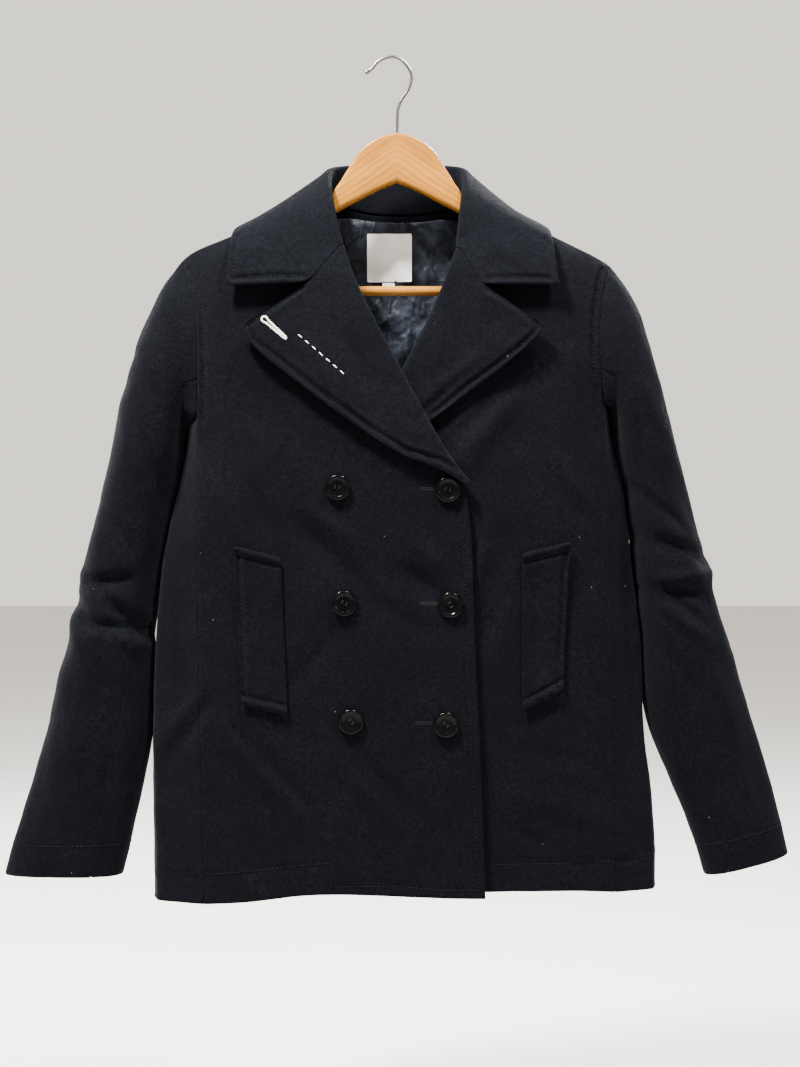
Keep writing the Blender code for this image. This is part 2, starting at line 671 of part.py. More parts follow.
def under_left(x, z):
    """The highest lift that clears the left front from below: it rises freely beyond the left roll line."""
    roll_x = Track([z for _, z in ROLL_LEFT], [x for x, _ in ROLL_LEFT])(z)
    return UNDER_LIFT + 0.6 * max(x - roll_x - 3, 0)


def leaf_line(start, corner, corner_lift, cell=LEAF_CELLS, limit=None):
    """A leaf from the fold to its outer edge, rising off the front."""
    start_lift = distance_out(start)[0]
    line = []
    for k in range(cell + 1):
        t = k / cell
        lift = start_lift + (corner_lift - start_lift) * math.sin(t * math.pi / 2)
        flat = start.lerp(on_front(corner[0], corner[1], corner_lift), t)
        lift = min(lift, limit(flat.x, flat.z)) if limit else lift
        line.append(settle(flat, lift) if k else start)
    return line


def gorge_leaf(start, gorge, corner):
    """The leaf's end row: along the gorge to the notch, then on to the collar's point or lapel's tip."""
    seam_part = leaf_line(start, gorge.notch, GORGE_LIFT, GORGE_CELLS)
    notch = seam_part[-1]
    free = []
    for k in range(1, LEAF_CELLS - GORGE_CELLS + 1):
        t = k / (LEAF_CELLS - GORGE_CELLS)
        flat = notch.lerp(on_front(corner[0], corner[1], EDGE_LIFT), t)
        free.append(settle(flat, GORGE_LIFT + (EDGE_LIFT - GORGE_LIFT) * t))
    return seam_part + free


def make_lapel(front, side):
    column = -1 if side == "left" else 0
    edge = LAPEL_EDGE_LEFT if side == "left" else LAPEL_EDGE_RIGHT
    gorge = GORGE_LEFT if side == "left" else GORGE_RIGHT
    first = 0 if side == "left" else RIGHT_LAPEL_START
    limit = None if side == "left" else under_left
    cells = ROWS_ROLL - first
    outer = evenly(dense_line(edge), cells)
    rows = []
    for k in range(cells + 1):
        row = ROWS_EDGE + first + k
        corner = outer[k]
        rise = smoothstep(-1, 4, k) if side == "left" else smoothstep(1, 5, k)

        def leaf_of(start, corner=corner, rise=rise, k=k):
            base = distance_out(start)[0]
            if k < cells:
                line = leaf_line(start, corner, base + (EDGE_LIFT - base) * rise, limit=limit)
                bend = (k / cells) ** 5
                whole = leaf_line(start, gorge.lapel_tip, EDGE_LIFT)
                at_gorge = gorge_leaf(start, gorge, gorge.lapel_tip)
                return [a + (c - b) * bend for a, b, c in zip(line, whole, at_gorge)]
            return gorge_leaf(start, gorge, gorge.lapel_tip)

        rows.append(rolled_row(front, row, column, leaf_of))
    return leaf_sheet("lapel_" + side, rows, -1 if side == "left" else 1)


def make_collar(fronts, back):
    """Stand and fall in one leaf, from the left gorge round the neck to the right gorge."""
    gorge_row = ROWS_EDGE + ROWS_ROLL
    top_row = gorge_row + ROWS_NECK
    left_base = [(fronts["left"], j, -1) for j in range(gorge_row, top_row)]
    right_base = [(fronts["right"], j, 0) for j in range(gorge_row, top_row)]
    neck_columns = range(SHOULDER_COLUMNS, SHOULDER_COLUMNS + BACK_NECK_COLUMNS + 1)
    bases = [frame[0].points[frame[1]][frame[2]] for frame in left_base]
    bases += [back.points[-1][i] for i in neck_columns]
    bases += [frame[0].points[frame[1]][frame[2]] for frame in right_base[::-1]]
    rows = [rolled_row(fronts["left"], gorge_row, -1,
                       lambda start: gorge_leaf(start, GORGE_LEFT, GORGE_LEFT.collar_point))]
    for k, line in enumerate(COLLAR):
        fold = Vector((line.fold_x, line.fold_y, line.fold_z))
        edge = Vector((line.edge_x, line.edge_y, line.edge_z))
        before, base, after = bases[k:k + 3]
        along = (after - before).normalized()
        up = fold - base
        up = (up - along * up.dot(along)).normalized()
        out = up.cross(along)
        centre = fold - up * ROLL_RADIUS
        start = base - out * (LEAF_WALL + 0.3) + up * 0.7
        lead_end = centre - out * ROLL_RADIUS
        leaf_start = centre + out * ROLL_RADIUS
        leaf = []
        for i in range(LEAF_CELLS + 1):
            t = i / LEAF_CELLS
            lift = LEAF_WALL + UNDER_GAP + (line.lift - LEAF_WALL) * t
            leaf.append(settle(leaf_start.lerp(edge, t), lift, only_out=True))
        rows.append(turned_section(start, lead_end, centre, -out, up, leaf))
    rows.append(rolled_row(fronts["right"], gorge_row, 0,
                           lambda start: gorge_leaf(start, GORGE_RIGHT, GORGE_RIGHT.collar_point)))
    return leaf_sheet("collar", rows, -1)


def match_walls(sheets):
    """Where pieces meet at nearly the same slant, their walls share one direction."""
    places = {}
    for sheet in sheets:
        for j, i in sheet.rim():
            key = tuple(round(value, 1) for value in sheet.points[j][i])
            places.setdefault(key, []).append((sheet, j, i))
    for spots in places.values():
        ways = [sheet.normals[j][i] for sheet, j, i in spots]
        mean = sum(ways, Vector()).normalized()
        if min(way.dot(mean) for way in ways) > 0.75:
            for sheet, j, i in spots:
                sheet.normals[j][i] = mean


# Blender objects

def material(name, colour, roughness, metallic=0.0):
    finish = bpy.data.materials.new(name)
    finish.use_nodes = True
    shader = finish.node_tree.nodes["Principled BSDF"]
    shader.inputs["Base Color"].default_value = (*colour, 1.0)
    shader.inputs["Roughness"].default_value = roughness
    shader.inputs["Metallic"].default_value = metallic
    return finish


def place_mesh(name, mesh, finish, smooth_angle=50):
    """Puts a bmesh made in millimetres into the scene at its real size."""
    bmesh.ops.scale(mesh, vec=(MM, MM, MM), verts=mesh.verts)
    bmesh.ops.recalc_face_normals(mesh, faces=mesh.faces)
    bmesh.ops.triangulate(mesh, faces=mesh.faces)
    data = bpy.data.meshes.new(name)
    mesh.to_mesh(data)
    mesh.free()
    data.shade_smooth()
    data.set_sharp_from_angle(angle=math.radians(smooth_angle))
    data.materials.append(finish)
    thing = bpy.data.objects.new(name, data)
    bpy.context.collection.objects.link(thing)
    return thing


def drawn_in(sheet, j, i):
    """An outer point, stopped short of the piece's own rim lines by half a seam gap."""
    points = sheet.points
    point = points[j][i].copy()
    last_row, last_column = len(points) - 1, len(points[0]) - 1
    if j in (0, last_row):
        point += (points[1 if j == 0 else last_row - 1][i] - points[j][i]).normalized() * SEAM_HALF_GAP
    if i in (0, last_column):
        point += (points[j][1 if i == 0 else last_column - 1] - points[j][i]).normalized() * SEAM_HALF_GAP
    return point


def build_cloth(sheet, finish):
    """A sheet's grid, set on its outer points, with its wall extruded inwards."""
    mesh = bmesh.new()
    rows, columns = len(sheet.points), len(sheet.points[0])
    bmesh.ops.create_grid(mesh, x_segments=columns - 1, y_segments=rows - 1, size=1)
    mesh.verts.ensure_lookup_table()
    inner = {}
    for k, vert in enumerate(mesh.verts):
        j, i = divmod(k, columns)
        vert.co = drawn_in(sheet, j, i)
        inner[vert.co.to_tuple(5)] = vert.co - sheet.normals[j][i] * sheet.walls[j][i]
    wall = bmesh.ops.extrude_face_region(mesh, geom=mesh.faces[:], use_keep_orig=True)
    for vert in wall["geom"]:
        if isinstance(vert, bmesh.types.BMVert):
            vert.co = inner[vert.co.to_tuple(5)]
    return place_mesh(sheet.name, mesh, finish)


def front_patch(name, corners, rows, columns, lift_of, wall):
    """A piece that lies on a front, from four corners, moved out by lift_of(s, t)."""
    outer_top, outer_bottom, inner_top, inner_bottom = (Vector(corner) for corner in corners)
    points = []
    for j in range(rows + 1):
        t = j / rows
        line = []
        for i in range(columns + 1):
            s = i / columns
            place = outer_bottom.lerp(outer_top, t).lerp(inner_bottom.lerp(inner_top, t), s)
            line.append(on_front(place.x, place.y, lift_of(s, t, place)))
        points.append(line)
    handed = 1 if corners.outer_top[0] < corners.inner_top[0] else -1
    return Sheet(name, points, grid_normals(points, handed), even_walls(points, wall))


def make_welts():
    sheets = []
    for side, welt, lap in (("left", WELT_LEFT, left_lap), ("right", WELT_RIGHT, right_lap)):
        def lift_of(s, t, place, lap=lap):
            tuck = WELT_TUCK * (1 - smoothstep(0.05, 0.14, min(t, 1 - t)))
            return lap(place.x, place.y) + UNDER_GAP + WELT_WALL + tuck

        sheets.append(front_patch("pocket_welt_" + side, welt, 9, 3, lift_of, WELT_WALL))
    return sheets


def back_patch(name, left, right, bottom, top_of, rows, columns, lift_of, wall):
    """A piece inside the back, facing the front of the coat."""
    points = []
    for j in range(rows + 1):
        line = []
        for i in range(columns + 1):
            x = left + (right - left) * i / columns
            z = bottom + (top_of(x) - bottom) * j / rows
            angle = angle_at(x, z, BACK)
            line.append(bare_body(angle, z) - body_normal(angle, z) * lift_of(x, z))
        points.append(line)
    return Sheet(name, points, grid_normals(points, 1), even_walls(points, wall))


def make_neck_inside():
    """Satin lining with soft gathers, and the blank label and tab sewn to it."""
    neck = Track([x for x, _ in BACK_NECK], [z for _, z in BACK_NECK])
    depth = WALL + 2 * UNDER_GAP

    def gathers(x, z):
        return 1.3 * (1 - math.cos(x / 7.5 + z / 60)) * smoothstep(-148, -175, z)

    def lining_top(x):
        return neck(max(min(x, 62), -62)) - 6 - 0.4 * max(abs(x) - 45, 0)

    lining = back_patch("lining", -LINING_HALF_WIDTH, LINING_HALF_WIDTH, LINING_BOTTOM, lining_top, 12, 26,
                        lambda x, z: depth + 0.8 + gathers(x, z), 0.8)
    left, right, bottom, top = LABEL
    label = back_patch("neck_label", left, right, bottom, lambda x: top, 2, 4, lambda x, z: depth + 5.0, 0.6)
    left, right, bottom, top = SIZE_TAB
    tab = back_patch("size_tab", left, right, bottom, lambda x: top, 1, 2, lambda x, z: depth + 4.9, 0.5)
    return lining, [label, tab]


def make_button(number, place, finish):
    """A turned disc with a raised rim and a dished middle, lying on the left front."""
    x, z = place
    lap = left_lap(x, z)
    seat = on_front(x, z, lap + 0.6)
    normal = (on_front(x, z, lap + 9) - seat).normalized()
    r, h = BUTTON_RADIUS, BUTTON_THICKNESS
    profile = [(0, 0), (r - 1.6, 0), (r, 1.4), (r, h - 1.1), (r - 1.1, h), (r - 2.4, h - 0.1), (r - 4.2, h - 1.3),
               (0, h - 1.5)]
    mesh = bmesh.new()
    verts = [mesh.verts.new((reach, 0, height)) for reach, height in profile]
    edges = [mesh.edges.new(pair) for pair in zip(verts, verts[1:])]
    bmesh.ops.spin(mesh, geom=verts + edges, cent=(0, 0, 0), axis=(0, 0, 1), angle=2 * math.pi, steps=20,
                   use_merge=True)
    bmesh.ops.remove_doubles(mesh, verts=mesh.verts, dist=0.001)
    turn = normal.to_track_quat("Z", "Y").to_matrix()
    bmesh.ops.rotate(mesh, cent=(0, 0, 0), matrix=turn, verts=mesh.verts)
    bmesh.ops.translate(mesh, vec=seat, verts=mesh.verts)
    place_mesh("button_" + str(number), mesh, finish, smooth_angle=35)


def make_wood(finish):
    """The hanger's shaped wood, cut from one outline and rounded over."""
    right = WOOD_OUTLINE
    outline = right + [(-x, z) for x, z in right[-2:0:-1]]
    mesh = bmesh.new()
    verts = [mesh.verts.new((x, -WOOD_THICKNESS / 2, z)) for x, z in outline]
    mesh.faces.new(verts)
    slab = bmesh.ops.extrude_face_region(mesh, geom=mesh.faces[:], use_keep_orig=True)
    far = [item for item in slab["geom"] if isinstance(item, bmesh.types.BMVert)]
    bmesh.ops.translate(mesh, vec=(0, WOOD_THICKNESS, 0), verts=far)
    bmesh.ops.recalc_face_normals(mesh, faces=mesh.faces)
    rims = [edge for edge in mesh.edges if abs(edge.verts[0].co.y - edge.verts[1].co.y) < 1]
    bmesh.ops.bevel(mesh, geom=rims, offset=WOOD_EDGE, segments=2, profile=0.5, affect="EDGES", material=-1,
                    clamp_overlap=True)
    place_mesh("hanger_wood", mesh, finish)


def make_bar(finish):
    mesh = bmesh.new()
    bmesh.ops.create_cone(mesh, cap_ends=True, segments=14, radius1=BAR_RADIUS, radius2=BAR_RADIUS,
                          depth=2 * BAR_HALF_LENGTH)
    turn = Vector((1, 0, 0)).to_track_quat("Z", "Y").to_matrix()
    bmesh.ops.rotate(mesh, cent=(0, 0, 0), matrix=turn, verts=mesh.verts)
    bmesh.ops.translate(mesh, vec=(0, 0, BAR_HEIGHT), verts=mesh.verts)
    place_mesh("trouser_bar", mesh, finish)


def make_hook(finish):
    """One bent wire: a round hook and its shank, which ends on top of the wood."""
    path = evenly(dense_line([(x, 0, z) for x, z in HOOK_PATH]), 40)
    curve = bpy.data.curves.new("hanger_hook", "CURVE")
    curve.dimensions = "3D"
    curve.bevel_depth = WIRE_RADIUS * MM
    curve.bevel_resolution = 2
    curve.use_fill_caps = True
    curve.render_resolution_u = 0
    line = curve.splines.new("POLY")
    line.points.add(len(path) - 1)
    for point, place in zip(line.points, path):
        point.co = (*(place * MM), 1.0)
    curve.materials.append(finish)
    thing = bpy.data.objects.new("hanger_hook", curve)
    bpy.context.collection.objects.link(thing)


def main():
    for thing in list(bpy.data.objects):
        bpy.data.objects.remove(thing, do_unlink=True)

    lines = make_seams()
    fronts = make_fronts(lines)
    back = make_back(lines)
    sides = {side: make_side(lines, side) for side in ("left", "right")}
    sleeves = []
    for side, rings in (("left", SLEEVE_LEFT), ("right", SLEEVE_RIGHT)):
        loop = armhole_loop(fronts[side], sides[side], back, side)
        sleeves += make_sleeve(loop, rings, side)
    lapels = [make_lapel(fronts[side], side) for side in ("left", "right")]
    collar = make_collar(fronts, back)
    cloth = [fronts["left"], fronts["right"], back, sides["left"], sides["right"]] + sleeves + lapels + [collar]
    match_walls(cloth)
    for sheet in cloth + make_welts():
        build_cloth(sheet, material(sheet.name, NAVY, 0.95))

    lining, labels = make_neck_inside()
    build_cloth(lining, material("lining", SATIN, 0.4))
    for sheet in labels:
        build_cloth(sheet, material(sheet.name, LABEL_WHITE, 0.6))
    for number, place in enumerate(BUTTONS, 1):
        make_button(number, place, material("button_" + str(number), BUTTON_BLACK, 0.2))
    make_wood(material("hanger_wood", HONEY_WOOD, 0.35))
    make_bar(material("trouser_bar", HONEY_WOOD, 0.35))
    make_hook(material("hanger_hook", STEEL, 0.25, 1.0))


main()
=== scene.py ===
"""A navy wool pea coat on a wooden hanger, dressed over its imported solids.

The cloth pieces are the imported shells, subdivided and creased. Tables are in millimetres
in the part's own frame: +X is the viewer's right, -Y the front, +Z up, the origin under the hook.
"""

import bisect
import json
import math
import random
from collections import defaultdict, namedtuple

import bmesh
import bpy
import numpy as np
from mathutils import Matrix, Vector, noise
from mathutils.bvhtree import BVHTree
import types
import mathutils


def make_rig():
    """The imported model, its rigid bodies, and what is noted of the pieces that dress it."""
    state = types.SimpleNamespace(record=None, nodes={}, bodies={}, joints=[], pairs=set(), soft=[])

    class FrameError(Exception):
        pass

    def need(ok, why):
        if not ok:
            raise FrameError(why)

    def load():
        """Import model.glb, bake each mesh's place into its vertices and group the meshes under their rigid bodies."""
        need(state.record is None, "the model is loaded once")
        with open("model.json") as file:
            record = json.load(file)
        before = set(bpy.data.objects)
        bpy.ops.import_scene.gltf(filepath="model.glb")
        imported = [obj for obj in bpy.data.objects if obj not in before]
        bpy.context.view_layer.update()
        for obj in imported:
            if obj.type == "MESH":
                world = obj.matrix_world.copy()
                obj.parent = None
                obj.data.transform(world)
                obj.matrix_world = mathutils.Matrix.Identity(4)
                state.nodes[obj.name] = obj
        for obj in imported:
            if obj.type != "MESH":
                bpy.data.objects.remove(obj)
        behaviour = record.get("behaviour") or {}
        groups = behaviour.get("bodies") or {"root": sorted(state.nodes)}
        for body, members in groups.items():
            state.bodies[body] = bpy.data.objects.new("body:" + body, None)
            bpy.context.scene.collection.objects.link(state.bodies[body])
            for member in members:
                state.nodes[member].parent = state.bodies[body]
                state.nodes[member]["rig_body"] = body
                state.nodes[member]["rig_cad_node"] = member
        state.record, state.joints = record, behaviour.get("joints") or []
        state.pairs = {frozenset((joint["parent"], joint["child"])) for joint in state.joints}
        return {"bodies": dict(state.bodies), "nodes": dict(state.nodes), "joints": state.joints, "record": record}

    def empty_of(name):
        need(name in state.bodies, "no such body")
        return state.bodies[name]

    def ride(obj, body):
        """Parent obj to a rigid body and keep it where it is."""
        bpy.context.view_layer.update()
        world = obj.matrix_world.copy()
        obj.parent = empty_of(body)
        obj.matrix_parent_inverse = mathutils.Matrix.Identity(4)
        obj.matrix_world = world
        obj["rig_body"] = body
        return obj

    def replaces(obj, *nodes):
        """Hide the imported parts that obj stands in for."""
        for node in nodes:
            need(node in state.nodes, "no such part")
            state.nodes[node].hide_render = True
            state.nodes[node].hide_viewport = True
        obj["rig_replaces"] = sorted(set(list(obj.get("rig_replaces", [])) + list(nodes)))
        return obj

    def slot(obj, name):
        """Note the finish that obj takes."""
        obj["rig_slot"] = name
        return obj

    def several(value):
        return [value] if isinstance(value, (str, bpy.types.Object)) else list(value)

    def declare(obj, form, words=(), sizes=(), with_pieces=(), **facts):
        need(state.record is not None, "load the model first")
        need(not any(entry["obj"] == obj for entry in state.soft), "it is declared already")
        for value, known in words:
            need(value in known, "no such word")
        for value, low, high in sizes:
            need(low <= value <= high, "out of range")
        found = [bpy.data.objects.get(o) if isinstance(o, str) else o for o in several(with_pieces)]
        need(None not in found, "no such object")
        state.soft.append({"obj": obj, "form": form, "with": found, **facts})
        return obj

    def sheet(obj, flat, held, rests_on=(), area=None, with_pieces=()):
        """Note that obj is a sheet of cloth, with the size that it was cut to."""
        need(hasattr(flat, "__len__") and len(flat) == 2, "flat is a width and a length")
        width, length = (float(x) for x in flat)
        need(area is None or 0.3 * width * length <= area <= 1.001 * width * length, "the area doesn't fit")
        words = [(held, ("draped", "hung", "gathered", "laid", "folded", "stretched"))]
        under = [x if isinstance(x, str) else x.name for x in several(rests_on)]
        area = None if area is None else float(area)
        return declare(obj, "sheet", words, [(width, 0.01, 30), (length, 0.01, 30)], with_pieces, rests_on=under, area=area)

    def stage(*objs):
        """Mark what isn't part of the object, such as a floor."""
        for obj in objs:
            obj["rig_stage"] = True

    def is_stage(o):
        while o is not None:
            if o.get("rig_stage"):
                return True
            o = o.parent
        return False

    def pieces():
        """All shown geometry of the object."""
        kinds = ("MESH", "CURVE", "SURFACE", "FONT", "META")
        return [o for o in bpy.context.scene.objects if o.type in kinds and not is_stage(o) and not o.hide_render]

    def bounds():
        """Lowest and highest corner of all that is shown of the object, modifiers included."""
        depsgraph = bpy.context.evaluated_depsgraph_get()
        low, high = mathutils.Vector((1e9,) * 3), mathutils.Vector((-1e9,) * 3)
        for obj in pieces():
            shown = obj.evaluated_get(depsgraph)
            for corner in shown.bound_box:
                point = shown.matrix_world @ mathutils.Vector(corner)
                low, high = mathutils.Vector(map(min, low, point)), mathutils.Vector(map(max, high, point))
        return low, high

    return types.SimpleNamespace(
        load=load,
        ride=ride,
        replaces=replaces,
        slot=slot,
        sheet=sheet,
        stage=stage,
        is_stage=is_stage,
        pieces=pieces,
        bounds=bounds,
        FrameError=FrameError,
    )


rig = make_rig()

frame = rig.load()
cad_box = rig.bounds()

MM = 0.001
NODES = frame["nodes"]
SCENE = bpy.context.scene

# Photograph: its camera looks straight at the coat from 1.4 m
CAMERA_PLACE = (0.003, -1.4, -0.456)
FRAME_HEIGHT_AT_COAT = 1.024

# How finely each cloth shell is subdivided
FINE, MEDIUM = 3, 2
SHELLS = {
    "front_left": FINE, "front_right": FINE, "back": MEDIUM, "side_left": FINE, "side_right": FINE,
    "sleeve_upper_left": FINE, "sleeve_upper_right": FINE, "sleeve_under_left": MEDIUM,
    "sleeve_under_right": MEDIUM, "lapel_left": FINE, "lapel_right": FINE, "collar": FINE,
    "pocket_welt_left": FINE, "pocket_welt_right": FINE,
}

# How the names of the folded leaves and of the sewn panels begin
LEAVES, PANELS = ("lapel", "collar"), ("front", "back", "side", "sleeve")

# Creases: a soft line from one (x, z) to another, its half width, height (negative sinks in), and the
# part of its width that its upper side takes; slope 0.5 is even, less makes that side steeper
Crease = namedtuple("Crease", "x0 z0 x1 z1 width height slope")
BODY_CREASES = [
    (-88, -446, -34, -500, 15, -2.4, 0.35),
    (-78, -436, -40, -462, 9, 1.2, 0.5),
    (8, -490, 46, -516, 12, -2.0, 0.4),
    (24, -470, 44, -488, 8, 1.0, 0.5),
    (-168, -632, -92, -712, 11, 2.0, 0.4),
    (-150, -640, -70, -722, 9, -1.3, 0.5),
    (-52, -668, 0, -730, 11, 1.7, 0.4),
    (-30, -664, 16, -716, 8, -0.9, 0.5),
    (-226, -658, -192, -614, 9, 1.8, 0.4),
    (-214, -668, -178, -618, 8, -1.4, 0.5),
    (108, -332, 60, -386, 13, 2.0, 0.35),
    (84, -336, 52, -372, 9, -1.0, 0.5),
    (96, -470, 84, -560, 12, -1.6, 0.5),
    (70, -500, 84, -468, 8, 1.1, 0.5),
    (128, -500, 132, -580, 9, -1.6, 0.4),
    (-130, -420, -110, -478, 12, -1.2, 0.5),
    (-176, -400, -150, -452, 10, 1.0, 0.5),
    (-20, -520, 30, -548, 9, -1.0, 0.5),
    (-66, -560, -98, -600, 10, -1.0, 0.5),
    (110, -700, 182, -724, 12, 1.0, 0.5),
    (104, -730, 150, -752, 9, -0.9, 0.5),
    (120, -660, 176, -668, 10, -0.8, 0.5),
    (-206, -520, -196, -640, 12, -1.3, 0.5),
    (212, -470, 222, -640, 13, -1.4, 0.5),
    (150, -392, 178, -430, 10, 1.1, 0.5),
    (-10, -690, 30, -770, 14, -0.8, 0.5),
]
BACK_CREASES = [
    (-120, -250, -40, -300, 16, 1.6, 0.4),
    (112, -262, 44, -318, 15, -1.5, 0.4),
    (-60, -400, -10, -560, 18, 1.8, 0.5),
    (30, -380, 56, -600, 20, -1.7, 0.5),
    (-150, -470, -110, -610, 16, -1.6, 0.4),
    (140, -450, 116, -640, 17, 1.7, 0.5),
    (-176, -640, -120, -720, 12, 1.8, 0.4),
    (-30, -640, 20, -730, 14, -1.3, 0.5),
    (90, -660, 150, -716, 12, 1.4, 0.4),
    (-90, -700, -64, -770, 14, -1.1, 0.5),
    (176, -380, 150, -440, 11, -1.4, 0.5),
    (-178, -372, -150, -436, 11, 1.4, 0.5),
]
# Creases of the sleeves as they show from the front, and other ones on their backs
SLEEVE_CREASES = [
    (-290, -500, -252, -497, 9, -3.2, 0.3),
    (-290, -501, -236, -546, 8, -2.8, 0.35),
    (-300, -496, -268, -520, 9, 2.2, 0.5),
    (-290, -538, -233, -548, 8, -2.6, 0.35),
    (-262, -552, -236, -562, 8, 2.0, 0.5),
    (-316, -520, -300, -560, 9, 1.8, 0.5),
    (-308, -516, -288, -540, 8, -2.2, 0.5),
    (-280, -560, -268, -640, 10, -1.6, 0.5),
    (-318, -590, -296, -690, 12, 1.2, 0.5),
    (-262, -620, -276, -720, 10, -1.2, 0.5),
    (-334, -640, -352, -740, 12, -1.1, 0.5),
    (-232, -372, -222, -420, 8, -1.8, 0.5),
    (-262, -330, -244, -392, 10, 1.2, 0.5),
    (-250, -290, -222, -340, 10, -1.2, 0.5),
    (-276, -430, -248, -470, 9, -1.6, 0.5),
    (214, -404, 262, -444, 7, -2.4, 0.35),
    (262, -400, 292, -470, 10, -1.8, 0.4),
    (246, -430, 284, -500, 9, 1.8, 0.5),
    (226, -456, 296, -478, 8, -2.7, 0.35),
    (240, -500, 302, -492, 9, 2.2, 0.4),
    (230, -504, 290, -512, 8, -2.6, 0.35),
    (256, -512, 282, -536, 7, -1.6, 0.35),
    (250, -524, 292, -556, 8, 1.8, 0.5),
    (240, -548, 276, -600, 9, -1.8, 0.5),
    (308, -510, 320, -560, 9, -1.6, 0.5),
    (222, -356, 236, -410, 8, -1.8, 0.5),
    (228, -318, 254, -372, 10, 1.2, 0.5),
    (292, -570, 318, -650, 11, 1.3, 0.5),
    (262, -600, 282, -690, 10, -1.4, 0.5),
    (330, -640, 350, -720, 12, -1.2, 0.5),
    (300, -700, 330, -744, 10, 1.0, 0.5),
]
SLEEVE_BACK_CREASES = [
    (-300, -508, -244, -528, 11, 2.4, 0.4),
    (-304, -546, -240, -556, 10, -2.2, 0.4),
    (-282, -440, -238, -480, 10, -1.8, 0.5),
    (-326, -600, -284, -680, 12, -1.4, 0.5),
    (-262, -360, -226, -404, 11, 1.6, 0.5),
    (302, -484, 240, -512, 11, 2.4, 0.4),
    (310, -536, 246, -540, 10, -2.2, 0.4),
    (276, -430, 234, -462, 10, -1.8, 0.5),
    (334, -610, 286, -676, 12, -1.4, 0.5),
    (258, -350, 226, -398, 11, 1.6, 0.5),
]
LEAF_CREASES = [
    (-96, -268, -50, -330, 14, 0.9, 0.5),
    (-60, -262, -24, -316, 12, -0.7, 0.5),
    (20, -350, 52, -318, 9, -1.2, 0.4),
    (30, -330, 84, -286, 10, 0.8, 0.5),
    (86, -250, 110, -282, 10, -0.8, 0.5),
    (-128, -196, -100, -222, 12, 0.7, 0.5),
    (96, -190, 132, -216, 12, 0.7, 0.5),
]

# Rows of stitches as they lie on the named pieces, as (x, z) lines seen from the front or the back
Stitches = namedtuple("Stitches", "on face line")
FRONT, BACK = -1, 1
TOPSTITCH = [
    Stitches("front_left", FRONT, [(76.5, -787), (71.5, -700), (68.5, -640), (66, -583), (63, -512),
                                   (61.5, -470), (56, -428)]),
    Stitches("front_left", FRONT, [(-234, -777), (-180, -775), (-146, -772), (-62, -762)]),
    Stitches("front_left", FRONT, [(-62, -784), (0, -784), (40, -787.5), (76, -788)]),
    Stitches("front_right", FRONT, [(92, -765), (150, -764), (204, -762)]),
    Stitches("side_right", FRONT, [(206, -762), (226, -760), (240, -759)]),
    Stitches("side_left", FRONT, [(-226, -778), (-206, -778), (-186, -776)]),
    Stitches("back", BACK, [(-174, -776), (-90, -773), (0, -771), (100, -769), (194, -767)]),
    Stitches("front_left", FRONT, [(-181, -352), (-180, -300), (-181, -257), (-185, -235), (-190, -218),
                                   (-196, -207)]),
    Stitches("front_right", FRONT, [(187, -338), (184, -302), (183.5, -285), (184, -252), (187, -231.6),
                                    (191, -214), (194, -207)]),
    Stitches("lapel_left", FRONT, [(58, -398), (40, -388.5), (8, -379), (-27, -356.5), (-62, -331),
                                   (-98, -303.5), (-131, -278), (-137.5, -266), (-128, -257.5), (-106, -242),
                                   (-86, -229)]),
    Stitches("lapel_right", FRONT, [(34, -345), (66, -318.5), (92, -300), (112, -284.5), (127, -271),
                                    (130.5, -264.5), (118, -253), (98, -240), (84, -231)]),
    Stitches("collar", FRONT, [(-86, -218.5), (-106, -218), (-132, -219), (-151, -220.5), (-150.5, -206),
                               (-149.5, -190), (-148, -178)]),
    Stitches("collar", FRONT, [(84, -220), (106, -219), (130, -219.5), (142.5, -220.5), (142, -206),
                               (140, -190), (138.5, -181)]),
    Stitches("collar", BACK, [(-140, -153), (-119, -151), (-84, -153), (-42, -159), (0, -162), (39, -160),
                              (78, -155), (111, -152), (130, -154)]),
]
THREAD_RADIUS = 0.42
STITCH_LENGTH = 2.9
STITCH_STEP = 3.9

# Buttons: their middles, and the degrees each has turned on its thread
BUTTONS = {"button_1": (-54.6, -413.6), "button_2": (-48.6, -520.6), "button_3": (-42.4, -630.0),
           "button_4": (47.3, -415.5), "button_5": (50.0, -522.4), "button_6": (45.6, -632.8)}
BUTTON_TURNS = {"button_1": 8, "button_2": 31, "button_3": 52, "button_4": 20, "button_5": 65, "button_6": 40}
BUTTON_PROFILE = [
    (0.001, 0.5), (8.2, 0.4), (10.6, 0.7), (11.8, 1.6), (12.0, 2.5), (11.7, 3.5), (10.9, 4.15), (10.0, 4.3),
    (9.1, 4.15), (8.3, 3.6), (7.5, 3.15), (6.2, 3.0), (0.001, 2.85),
]
HOLE_REACH = 2.1  # from the button's middle to each of its holes, across and up
# The strands between two holes: how far aside each lies, how it is turned, and its height
STRANDS = [(-0.36, 0.04, 3.05), (0.36, -0.05, 3.05), (0.0, 0.02, 3.35)]

# Buttonholes run from under their buttons towards -X; a keyhole and a row of stitches are on one lapel
BUTTONHOLES = [(46.5, -415.5), (46.0, -521.5), (42.0, -632.0)]
BUTTONHOLE_LENGTH, BUTTONHOLE_RISE = 24, 0.6
KEYHOLE = [(-121.5, -259.0), (-102.0, -276.5)]
RUNNING_STITCHES = [(-92, -272), (-70, -291), (-47, -311)]

# The label: its middle, its half size with a margin, its tacks, and the row of stitches along its top
LABEL_MIDDLE, LABEL_REACH = (-7, -185), (26, 27)
LABEL_TOP_ROW = [(-26, -162.6), (11.5, -162.6)]
LABEL_TACKS = [(-27.5, -163), (12.8, -163), (-27.5, -206), (12.8, -206)]

